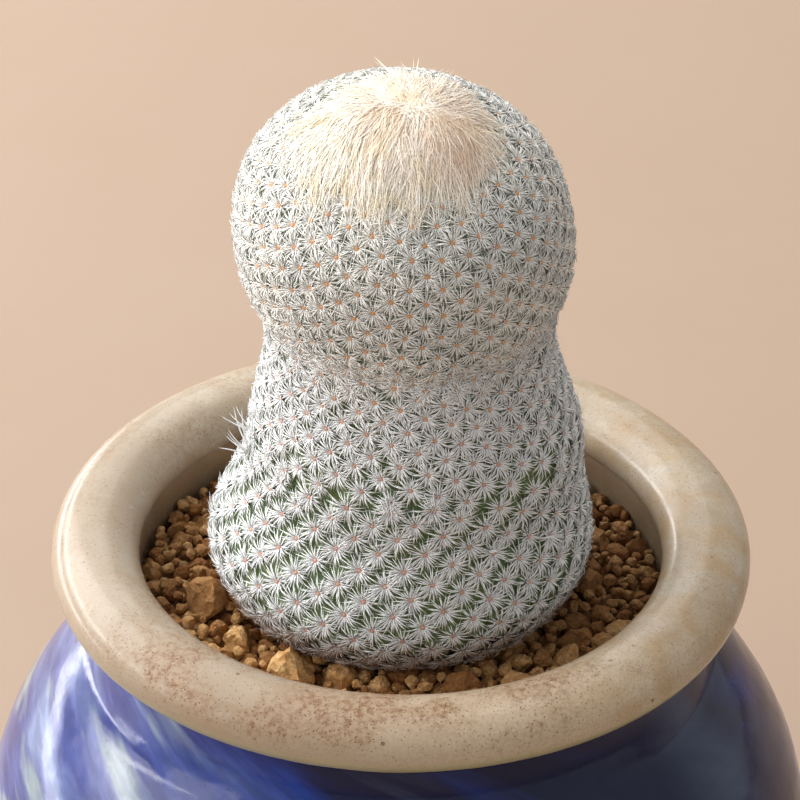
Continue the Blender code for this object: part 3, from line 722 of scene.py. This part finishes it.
def jar_profile():
    """(radius, height) points down the outer side and up the inner one, and whether each is outside."""
    lip = (LIP_RADIUS, LIP_PLANE)
    belly = (0, BELLY_PLANE)
    under_lip = angle_at(LIP_RADIUS - NECK_RADIUS, LIP_HALF_WIDTH) - 180
    in_throat = 180 + angle_at(LIP_RADIUS - THROAT_RADIUS, LIP_HALF_WIDTH)
    outer = arc(lip, LIP_HALF_WIDTH, LIP_HALF_HEIGHT, 90, under_lip, 28)
    shoulder_top = angle_at(NECK_RADIUS + NECK_FILLET, BELLY_RADIUS)
    shoulder = arc(belly, BELLY_RADIUS, SHOULDER_HEIGHT, shoulder_top, 0, 26)
    neck = [(NECK_RADIUS + out * MM, height * MM) for out, height in NECK_CURVE]
    outer += smooth_curve([outer[-1], *neck, shoulder[0]], 4)[1:-1].tolist()
    outer += shoulder
    outer += arc(belly, BELLY_RADIUS, BOWL_HEIGHT, 0, -angle_at(FOOT_RADIUS, BELLY_RADIUS), 26)[1:]
    inner_foot = FOOT_RADIUS - FOOT_RING_WIDTH
    foot = [
        (FOOT_RADIUS - 0.15 * MM, 0.35 * MM),
        (FOOT_RADIUS - 0.4 * MM, 0.1 * MM),
        (FOOT_RADIUS - 0.8 * MM, 0),
        (inner_foot + 0.2 * MM, 0),
        (inner_foot - 0.2 * MM, 0.3 * MM),
        (inner_foot - 0.6 * MM, FOOT_HEIGHT - 0.3 * MM),
        (inner_foot - 1.0 * MM, FOOT_HEIGHT),
        (DRAIN_RADIUS + 0.3 * MM, FOOT_HEIGHT),
        (DRAIN_RADIUS, FOOT_HEIGHT + 0.3 * MM),
        (DRAIN_RADIUS, FLOOR_TOP),
    ]
    throat = arc(lip, LIP_HALF_WIDTH, LIP_HALF_HEIGHT, in_throat, 90, 14)[:-1]
    inner = bore(0, 10)[::-1] + throat
    outside = [1.0] * len(outer + foot) + [0.0] * len(inner)
    return np.array(outer + foot + inner), np.array(outside)


class PartOperator(bpy.types.Operator):
    """What the operators that build pieces share."""

    bl_options = {"REGISTER", "UNDO"}

    def execute(self, context):
        self.build(context.scene)
        return {"FINISHED"}


class MakeJar(PartOperator):
    """Throw the glazed jar on its solid's profile"""

    bl_idname = "potted_cactus.jar"
    bl_label = "Glazed jar"

    def build(self, scene):
        settings = scene.cactus_jar
        profile, outside = jar_profile()
        angle = turn_steps(JAR_TURN_STEPS)
        radius, height = profile[:, :1], profile[:, 1:]
        wave = np.sin(2 * angle + 0.7) + 0.6 * np.sin(3 * angle + 2.1) + 0.35 * np.sin(7 * angle)
        ripple = np.sin(height / MM * 1.9 + np.sin(angle + 1)) * 0.25
        # The foot, the bore and the widest part stay round
        wavy = between(height, *WAVY_HEIGHTS) * between(radius, *WAVY_RADII)
        room = between(radius, BELLY_RADIUS, BELLY_RADIUS - 1.5 * MM)
        radius = radius + settings.waviness * (wave + ripple) * 0.5 * wavy * room
        lift = LIP_LIFT * np.sin(2 * angle + 1.2) * between(height, 74 * MM, 78 * MM)
        points = turned(radius, height + lift, angle)
        faces = grid_faces(*points.shape[:2], closed_rows=True)[:, ::-1]
        outside = np.repeat(outside, JAR_TURN_STEPS)
        piece("jar", points.reshape(-1, 3), faces, glaze_finish(settings), "pot", "pot", outside=outside)


def grain_shape(draw, subdivisions):
    """A clay grain about 1 across: a ball cut by flat facets and roughened."""
    ball = bmesh.new()
    bmesh.ops.create_icosphere(ball, subdivisions=subdivisions, radius=0.5)
    points = np.array([vertex.co for vertex in ball.verts])
    faces = np.array([[vertex.index for vertex in face.verts] for face in ball.faces])
    ball.free()
    cuts = unit(draw.normal(size=(9, 3)))
    for cut, depth in zip(cuts, draw.uniform(0.27, 0.44, 9)):
        over = np.maximum(points @ cut - depth, 0)
        points = points - over[:, None] * cut
    lumps = unit(draw.normal(size=(6, 3)))
    for lump in lumps:
        near = np.exp(-np.sum((unit(points) - lump) ** 2, axis=1) * 6)
        points = points * (1 + near[:, None] * draw.uniform(-0.18, 0.16))
    points = points + draw.normal(size=points.shape) * (0.022 if subdivisions > 2 else 0.03)
    return points * draw.uniform(0.8, 1.12, 3), faces


def turned_at_random(draw, points):
    """Points turned about the origin to any side."""
    a, b = unit(draw.normal(size=(2, 3)))
    b = unit(b - a * (a @ b))
    return points @ np.array([a, b, np.cross(a, b)])


def scattered(draw, count, kind, taken):
    """Places for grains round the stem, larger first, that keep clear of those placed before."""
    sizes, heights, closeness = kind
    placed = []
    for size in np.sort(draw.uniform(*sizes, count))[::-1] * MM:
        for _ in range(30):
            height = SOIL_LEVEL + draw.uniform(*heights) * MM
            inner = STEM.radius_at(height) + size * 0.35
            outer = THROAT_RADIUS - size * 0.42
            reach = math.sqrt(draw.uniform(inner**2, outer**2))
            angle = draw.uniform(0, 2 * math.pi)
            place = np.array([reach * math.cos(angle), reach * math.sin(angle), height])
            if all(np.linalg.norm(place - other) > closeness * (size + width) / 2 for other, width in taken):
                taken.append((place, size))
                placed.append((place, size))
                break
    return placed


class MakeSoil(PartOperator):
    """Fill the jar with baked clay grains"""

    bl_idname = "potted_cactus.soil"
    bl_label = "Clay grains"

    def build(self, scene):
        settings = scene.cactus_soil
        self.bed(settings)
        draw = np.random.default_rng(SEED)
        large = [(np.array(place) * MM, size * MM) for place, size in LARGEST_GRAINS]
        taken = list(large)
        large += scattered(draw, settings.large_grains, LARGE_GRAINS, taken)
        large += scattered(draw, MEDIUM_COUNT, MEDIUM_GRAINS, taken)
        small = scattered(draw, settings.small_grains, SMALL_GRAINS, taken)
        finish = clay_finish(settings, "baked_clay")
        for name, grains, subdivisions in (("grains_large", large, 3), ("grains_small", small, 2)):
            shapes = [grain_shape(draw, subdivisions) for _ in range(GRAIN_SHAPES)]
            parts = []
            for place, size in grains:
                shape, faces = shapes[draw.integers(len(shapes))]
                points = turned_at_random(draw, shape) * size + place
                parts.append((points, faces, np.full(len(points), draw.uniform(0, 1))))
            points, faces, tone = together(parts)
            piece(name, points, faces, finish, "soil", "soil", smooth=False, tone=tone)

    def bed(self, settings):
        """The body of grains below the loose ones, with its hole for the stem."""
        root = STEM_PROFILE[0][0] * MM
        top = SOIL_LEVEL - BED_DEPTH
        hole = [(STEM.radius_at(h) + HOLE_CLEARANCE, h) for h in np.linspace(root, top, 10)]
        across = [(radius, top) for radius in np.linspace(hole[-1][0], THROAT_RADIUS - SOIL_GAP, 24)[1:]]
        profile = [(0.0, root - SOIL_GAP), (hole[0][0], root - SOIL_GAP)] + hole + across + bore(SOIL_GAP, 8)
        profile += [(NET_ROOM_RADIUS, FLOOR_TOP + SOIL_GAP), (NET_ROOM_RADIUS, SOIL_FLOOR), (0.0, SOIL_FLOOR)]
        profile = np.array(profile)
        draw = np.random.default_rng(SEED)
        points = turned(profile[:, :1], profile[:, 1:], turn_steps(BED_STEPS))
        top_rows = slice(len(hole) + 2, len(hole) + len(across) + 1)
        points[top_rows, :, 2] += draw.uniform(-0.5, 0.5, points[top_rows, :, 2].shape) * MM
        faces = grid_faces(*points.shape[:2])[:, ::-1]
        finish = clay_finish(settings, "shaded_deep_clay", True)
        weld(piece("grain_bed", points.reshape(-1, 3), faces, finish, "soil", "soil", False))


def weld(made):
    """Joins points that lie on each other, such as a ring of no width, and turns all faces outwards."""
    shape = bmesh.new()
    shape.from_mesh(made.data)
    bmesh.ops.remove_doubles(shape, verts=shape.verts[:], dist=0.002 * MM)
    bmesh.ops.recalc_face_normals(shape, faces=shape.faces[:])
    shape.to_mesh(made.data)
    shape.free()


def areole_places():
    """Each tier's areoles from the top down, as (name, angles, reaches)."""
    draw = np.random.default_rng(SEED)
    middle_height = (STEM.heights[1:] + STEM.heights[:-1]) / 2
    heights, areas = np.transpose(AREOLE_AREAS)
    each = np.interp(middle_height, heights * MM, areas * MM * MM)
    count = np.concatenate([[0], np.cumsum(np.diff(STEM.area) / each)])
    places, done = [], 0.0
    for name, ends, turn, _, _ in TIERS:
        last = float(np.interp(STEM.reach_at(ends), STEM.reach, count))
        index = np.arange(int(last - done))
        reach = np.interp(done + index + 0.5, count, STEM.reach)
        angle = index * turn % (2 * math.pi)
        reach = reach + draw.normal(0, 0.07 * MM, len(reach))
        angle = angle + draw.normal(0, 0.07 * MM, len(angle)) / np.maximum(STEM.radius_at_reach(reach), MM)
        kept = STEM.clear_of_wool(angle, reach, BARE_CROWN)
        places.append((name, angle[kept], reach[kept]))
        done = last
    return places


class MakeSkin(PartOperator):
    """Raise the green tubercles on the stem's form"""

    bl_idname = "potted_cactus.skin"
    bl_label = "Green skin"

    def build(self, scene):
        places = areole_places()
        tips = np.concatenate([STEM.point(angle, reach) for _, angle, reach in places])
        tree = kdtree.KDTree(len(tips))
        for i, tip in enumerate(tips):
            tree.insert(tip, i)
        tree.balance()
        buried = float(STEM.reach_at(SOIL_LEVEL))
        rows = [np.arange(0.3 * MM, buried, SKIN_ROW), np.linspace(buried, STEM.reach[-1], 8)]
        rows = np.concatenate(rows)[:, None]
        turn = turn_steps(SKIN_COLUMNS)
        distance = np.array([tree.find(place)[2] for place in STEM.point(turn, rows).reshape(-1, 3)])
        hollow = eased(between(distance, 0, TUBERCLE_REACH)).reshape(len(rows), -1)
        # The tubercles fade towards the root, and partly towards the crown
        fade = between(rows, STEM.reach[-1], STEM.reach[-1] - 3 * MM) * np.clip(rows / (6 * MM), 0.4, 1)
        lift = (TUBERCLE_PEAK - (TUBERCLE_PEAK + TUBERCLE_DEPTH) * hollow) * fade
        grid = STEM.point(turn, rows, lift).reshape(-1, 3)
        crown = STEM.point(0.0, 0.0, -0.5 * MM)
        root = STEM.point(0.0, float(STEM.reach[-1])) * np.array([0, 0, 1])
        first, last = len(grid), len(grid) + 1
        low = len(grid) - SKIN_COLUMNS
        faces = grid_faces(len(rows), SKIN_COLUMNS).tolist()
        for column in range(SKIN_COLUMNS):
            after = (column + 1) % SKIN_COLUMNS
            faces += [(first, column, after), (last, low + after, low + column)]
        points = np.vstack([grid, crown, root])
        hollow = [*hollow.ravel(), 0.5, 0.5]
        finish = skin_finish(scene.cactus_stem)
        piece("green_skin", points, faces, finish, "cactus_stem", "stem", hollow=hollow)


def rosettes(draw, angle, reach, rays, length, width):
    """Needles round each areole: two in three lie low and long, one in three stands up and is short."""
    count = len(angle)
    outward, across, down = (v[:, None, :] for v in STEM.frame(angle, reach))
    centre = STEM.point(angle, reach, TUBERCLE_PEAK)[:, None, :]
    ray = np.arange(rays)
    high = ray % 3 == 2
    turn = 2 * math.pi * (ray + draw.uniform(-0.4, 0.4, (count, rays))) / rays
    turn = (turn + draw.uniform(0, 6.28, (count, 1)))[..., None]
    rise = np.where(high, HIGH_RISE, LOW_RISE) + draw.uniform(-9, 9, (count, rays))
    rise, bend = np.radians(rise)[..., None], math.radians(BEND)
    long = length[:, None] * np.where(high, HIGH_SHARE, 1.0) * draw.uniform(0.82, 1.12, (count, rays))
    half = long[..., None] * 0.5
    away = across * np.cos(turn) + down * np.sin(turn)
    start = centre + away * 0.1 * MM - outward * 0.12 * MM
    middle = start + (away * np.cos(rise + bend) + outward * np.sin(rise + bend)) * half
    tip = middle + (away * np.cos(rise - bend) + outward * np.sin(rise - bend)) * half
    paths = np.stack([start, middle, tip], axis=2).reshape(-1, 3, 3)
    widths = np.tile(np.array([1.0, 0.8, 0.0]) * width, (len(paths), 1))
    ups = np.broadcast_to(outward, (count, rays, 3)).reshape(-1, 3)
    points, faces, along = strands(paths, widths, ups)
    tone = np.repeat(draw.uniform(0, 1, len(paths)), len(points) // len(paths))
    return points, faces, along, tone


def areole_buds(draw, angle, reach, size):
    """A low dome of felt at the middle of each rosette."""
    outward, across, down = STEM.frame(angle, reach)
    centre = STEM.point(angle, reach, TUBERCLE_PEAK)
    turn = np.arange(6) * math.pi / 3
    rings = []
    for wide, high in ((1.0, -0.7), (0.8, 0.3)):
        ring = across[:, None] * np.cos(turn)[:, None] + down[:, None] * np.sin(turn)[:, None]
        rings.append(centre[:, None] + (ring * wide + outward[:, None] * high) * size)
    tip = (centre + outward * size * 0.75)[:, None]
    points = np.concatenate([*rings, tip], axis=1)
    faces = []
    for a in range(6):
        b = (a + 1) % 6
        faces += [(a, b, b + 6), (a, b + 6, a + 6), (a + 6, b + 6, 12)]
    faces += [(0, a + 1, a) for a in range(1, 5)]
    faces = np.array(faces)[None] + np.arange(len(angle))[:, None, None] * 13
    tone = np.repeat(draw.uniform(0, 1, len(angle)), 13)
    return points.reshape(-1, 3), faces.reshape(-1, 3), np.zeros(len(points) * 13), tone


class MakeRosettes(PartOperator):
    """Set a rosette of needles on each areole, tier by tier"""

    bl_idname = "potted_cactus.rosettes"
    bl_label = "Rosettes of needles"

    def build(self, scene):
        settings = scene.cactus_stem
        draw = np.random.default_rng(SEED)
        finish = needle_finish(settings)
        for (name, angle, reach), (_, _, _, share, bud) in zip(areole_places(), TIERS):
            groups = {"needles_" + name: np.full(len(angle), True)}
            if name == "head":
                upper = reach < np.median(reach)
                groups = {"needles_crown": upper, "needles_head": ~upper}
            for label, chosen in groups.items():
                a, r = angle[chosen], reach[chosen]
                long = settings.needle_length * share * draw.uniform(0.92, 1.08, len(a))
                long = long * np.interp(r, *SHORTER)
                needles = rosettes(draw, a, r, settings.rays, long, settings.needle_width)
                points, faces, along, tone = together([needles, areole_buds(draw, a, r, bud)])
                piece(label, points, faces, finish, "cactus_stem", "stem", along=along, tone=tone)


class MakeStrayNeedles(PartOperator):
    """Add the few long needles that stand out from the stem"""

    bl_idname = "potted_cactus.stray_needles"
    bl_label = "Stray needles"

    def build(self, scene):
        draw = np.random.default_rng(SEED)
        share = np.linspace(0, 1, 5)[:, None]
        paths, outs = [], []
        for degrees, height, count, long, up in STRAY_TUFTS:
            angle, reach = np.radians(degrees), float(STEM.reach_at(height * MM))
            outward, across, down = STEM.frame(angle, reach)
            start = STEM.point(angle, reach)
            for _ in range(count):
                lean = math.radians(draw.uniform(20, 75))
                aside = draw.uniform(-0.5, 0.5)
                way = unit((across * aside - down * up) * math.cos(lean) + outward * math.sin(lean))
                size = long * MM * draw.uniform(0.7, 1.15)
                curl = across * draw.uniform(-0.15, 0.15) - outward * 0.22
                paths.append(start + (way * share + curl * share**2) * size)
                outs.append(outward)
        widths = np.tile(np.array([1.3, 1.2, 1.0, 0.7, 0]) * STRAY_WIDTH, (len(paths), 1))
        points, faces, along = strands(np.array(paths), widths, np.array(outs))
        tone = np.repeat(draw.uniform(0.6, 1, len(paths)), len(points) // len(paths))
        finish = bpy.data.materials["needles"]
        piece("needles_stray", points, faces, finish, "cactus_stem", "stem", along=along, tone=tone)


def wool_edge(angle):
    """The wool's reach from its middle at these angles."""
    sides, edge = np.transpose(WOOL_EDGE)
    return np.interp(np.degrees(angle) % 360, sides, edge * MM, period=360)


def pad_lift(share):
    """How high matted wool stands above the skin, at a share of the way to its edge."""
    return PAD_HEIGHT * np.clip(1 - share**1.6, 0.08, 1)


def waves(draw, angle, depth, counts):
    """A ragged edge round 1: waves of the same depth that go round so many times each."""
    return 1 + sum(depth * np.sin(angle * count + draw.uniform(0, 6.28)) for count in counts)


def falls_forward(angle):
    """How much the hairs on each side fall forward side by side, instead of fanning out."""
    return np.clip(0.25 - np.sin(angle), 0, 1)


class MakeWool(PartOperator):
    """Comb silky wool over the crown"""

    bl_idname = "potted_cactus.wool"
    bl_label = "Crown wool"

    def build(self, scene):
        settings = scene.cactus_wool
        draw = np.random.default_rng(SEED)
        self.pad(settings, draw)
        count = settings.hairs
        paths, widths, outward = self.hairs(draw, count, settings.hair_length)
        points, faces, along = strands(paths, widths, outward)
        each_point, each_face = len(points) // count, len(faces) // count
        tone = np.repeat(np.clip(draw.normal(0.62, 0.25, count), 0, 1), each_point)
        finish = wool_finish(settings, "wool_hairs")
        half = count // 2
        for name, low, high in (("wool_under", 0, half), ("wool_over", half, count)):
            chosen = slice(low * each_point, high * each_point)
            part = faces[low * each_face : high * each_face] - low * each_point
            values = {"along": along[chosen], "tone": tone[chosen]}
            piece(name, points[chosen], part, finish, "crown_wool", "wool", False, **values)

    def hairs(self, draw, count, hair_length):
        """Each hair's path over the pad, its widths and its outward direction."""
        angle = draw.uniform(0, 2 * math.pi, count)
        limit = wool_edge(angle) * waves(draw, angle, 0.05, (9, 14, 23, 37))
        # The wool thins out towards its edge, where only a few hairs reach beyond the others
        share = 0.12 + draw.beta(2.8, 2.3, count) * 1.02
        share = share * np.where(draw.uniform(0, 1, count) > 0.93, draw.uniform(1.0, 1.28, count), 1.0)
        end = np.stack([np.cos(angle), np.sin(angle)], axis=1) * (limit * share)[:, None]
        forward = falls_forward(angle)
        flow = unit(unit(end) + np.array([0.0, -1.1]) * forward[:, None])
        aside = draw.normal(0, 0.16, count) + 0.12 * np.sin(end[:, 0] / MM * 1.1 + end[:, 1] / MM * 0.5)
        flow = unit(flow + np.stack([-flow[:, 1], flow[:, 0]], axis=1) * aside[:, None])
        # Locks: hairs drawn together across their flow, with valleys between them
        across = np.stack([-flow[:, 1], flow[:, 0]], axis=1)
        place = np.sum(end * across, axis=1) + 0.6 * MM * np.sin(end[:, 1] / MM * 0.7)
        lock = np.round(place / LOCK_WIDTH + draw.normal(0, 0.25, count))
        pull = np.clip(lock * LOCK_WIDTH - place, -0.8 * MM, 0.8 * MM)
        long = hair_length * draw.uniform(0.4, 1.0, count) * (0.7 + 0.3 * forward)
        long = np.minimum(long, np.linalg.norm(end, axis=1) + 2.5 * MM)
        steps = np.linspace(0, 1, 4)
        back = 1 - steps
        paths = end[:, None] - flow[:, None] * long[:, None, None] * back[:, None]
        sway = draw.normal(0, 0.34, (count, 1)) * MM * back * steps * 4
        paths = paths + across[:, None] * (pull[:, None] * (0.25 + 0.5 * steps) + sway)[..., None]
        # Hairs lie on the pad and arch a little over it, and a few strays stand up
        reach = np.linalg.norm(paths, axis=-1)
        high = draw.uniform(0, 1, (count, 1)) ** 2 * 0.4 * MM
        arch = np.maximum(pad_lift(reach / limit[:, None]), 0.4 * MM) + high * (0.3 + 2.8 * steps * back)
        stray = draw.uniform(0, 1, (count, 1)) > 0.98
        arch = np.where(stray, arch + steps * draw.uniform(0.5, 1.8, (count, 1)) * MM, arch)
        places = STEM.on_crown(np.arctan2(paths[..., 1], paths[..., 0]), reach)
        widths = np.array([0.9, 1.0, 0.75, 0]) * draw.uniform(0.05, 0.11, (count, 1)) * MM
        return STEM.point(*places, arch), widths, STEM.outward(places[0][:, 1], places[1][:, 1])

    def pad(self, settings, draw):
        """A closed pad of matted wool under the loose hairs, with combed ridges."""
        turn = turn_steps(PAD_COLUMNS)[None, :]
        share = np.linspace(0.02, 1, PAD_ROWS)[:, None]
        reach = share * 0.9 * wool_edge(turn) * waves(draw, turn, 0.03, (9, 16, 27, 44))
        ridges = sum(
            draw.uniform(0.3, 1) * np.sin(turn * wave + draw.uniform(0, 6.28) + share * draw.uniform(-3, 3))
            for wave in (17, 23, 31, 41, 53)
        )
        lift = pad_lift(share) - 0.06 * MM + 0.05 * MM * ridges * np.minimum(1, 2 * share)
        lift = lift * np.clip((1 - share) * 8, 0, 1) - 0.2 * MM * np.clip(share * 6 - 5, 0, 1)
        places = STEM.on_crown(np.broadcast_to(turn, reach.shape), reach)
        upper = STEM.point(*places, lift)
        lower = STEM.point(*places, -0.7 * MM)[::-1]
        points = np.concatenate([upper, lower])
        faces = grid_faces(*points.shape[:2], closed_rows=True)
        forward = falls_forward(turn)
        strand = (1 - forward) * turn * 6 + forward * reach * np.cos(turn) / MM
        strand = np.concatenate([strand, strand[::-1]])
        finish = wool_finish(settings, "wool_pad", True)
        weld(piece("wool_pad", points.reshape(-1, 3), faces, finish, "crown_wool", "wool", strand=strand))


class FinishNet(PartOperator):
    """Give the net over the drain hole its plastic"""

    bl_idname = "potted_cactus.net"
    bl_label = "Drain net"

    def build(self, scene):
        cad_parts["drain_screen"].material_slots[0].material = net_finish()


def light(name, power, direction, distance, size, share, colour, lean, shape):
    """A soft light that faces the jar."""
    bearing, elevation = (math.radians(angle) for angle in direction)
    flat = math.cos(elevation)
    away = Vector((math.cos(bearing) * flat, math.sin(bearing) * flat, math.sin(elevation)))
    lamp = bpy.data.lights.new(name, "AREA")
    lamp.shape = shape
    lamp.size, lamp.size_y = size
    lamp.energy = power * share
    lamp.color = colour
    made = bpy.data.objects.new(name, lamp)
    bpy.context.scene.collection.objects.link(made)
    made.location = Vector((0, 0, LIGHT_AIM)) + away * distance
    turn = away.to_track_quat("Z", "Y").to_matrix() @ Matrix.Rotation(math.radians(lean), 3, "Z")
    made.rotation_euler = turn.to_euler()


class SetStage(PartOperator):
    """Set the pale floor, the soft light and the camera"""

    bl_idname = "potted_cactus.stage"
    bl_label = "Stage"

    def build(self, scene):
        settings = scene.cactus_stage
        mesh = bpy.data.meshes.new("floor")
        corners = [(x * FLOOR_HALF, y * FLOOR_HALF, 0) for x, y in ((-1, -1), (1, -1), (1, 1), (-1, 1))]
        mesh.from_pydata(corners, [], [(0, 1, 2, 3)])
        mesh.materials.append(floor_finish(settings))
        floor = bpy.data.objects.new("floor", mesh)
        scene.collection.objects.link(floor)

        world = bpy.data.worlds.new("soft_room")
        world.use_nodes = True
        sky = world.node_tree.nodes["Background"]
        sky.inputs["Color"].default_value = (1.0, 0.97, 0.93, 1)
        sky.inputs["Strength"].default_value = settings.sky
        scene.world = world
        for name, values in LIGHTS.items():
            light(name, settings.window, *values)
        scene.view_settings.view_transform = "Standard"

        elevation, roll = math.radians(CAMERA_ELEVATION), math.radians(CAMERA_ROLL)
        camera = bpy.data.objects.new("camera", bpy.data.cameras.new("camera"))
        scene.collection.objects.link(camera)
        camera.data.sensor_width = 36
        camera.data.lens = CAMERA_LENS
        camera.data.clip_start = 0.01
        back = Vector((0, -math.cos(elevation), math.sin(elevation)))
        right = Vector((1, 0, 0))
        up = right.cross(-back)
        right_rolled = math.cos(roll) * right + math.sin(roll) * up
        up_rolled = math.cos(roll) * up - math.sin(roll) * right
        turn = Matrix((right_rolled, up_rolled, back)).transposed().to_4x4()
        camera.matrix_world = Matrix.Translation(Vector(CAMERA_TARGET) + back * CAMERA_DISTANCE) @ turn
        scene.camera = camera


class CactusPanel(bpy.types.Panel):
    """Lists the settings and the operators in the 3D view's sidebar"""

    bl_idname = "VIEW3D_PT_potted_cactus"
    bl_label = "Potted cactus"
    bl_space_type = "VIEW_3D"
    bl_region_type = "UI"
    bl_category = "Potted cactus"

    def draw(self, context):
        for title, group, _, operators in GROUPS:
            box = self.layout.box()
            box.label(text=title)
            settings = getattr(context.scene, group)
            for name in settings.__annotations__:
                box.prop(settings, name)
            for operator in operators:
                box.operator(operator.bl_idname)


GROUPS = (
    ("Jar", "cactus_jar", JarSettings, (MakeJar, FinishNet)),
    ("Soil", "cactus_soil", SoilSettings, (MakeSoil,)),
    ("Stem", "cactus_stem", StemSettings, (MakeSkin, MakeRosettes, MakeStrayNeedles)),
    ("Wool", "cactus_wool", WoolSettings, (MakeWool,)),
    ("Stage", "cactus_stage", StageSettings, (SetStage,)),
)


def classes():
    for _, _, settings, operators in GROUPS:
        yield settings
        yield from operators
    yield CactusPanel


def register():
    for each in classes():
        bpy.utils.register_class(each)
    for _, group, settings, _ in GROUPS:
        setattr(bpy.types.Scene, group, bpy.props.PointerProperty(type=settings))


def unregister():
    for _, group, _, _ in GROUPS:
        delattr(bpy.types.Scene, group)
    for each in reversed(list(classes())):
        bpy.utils.unregister_class(each)


def main():
    register()
    for _, _, _, operators in GROUPS:
        for operator in operators:
            module, name = operator.bl_idname.split(".")
            getattr(getattr(bpy.ops, module), name)()


if __name__ == "__main__":
    main()
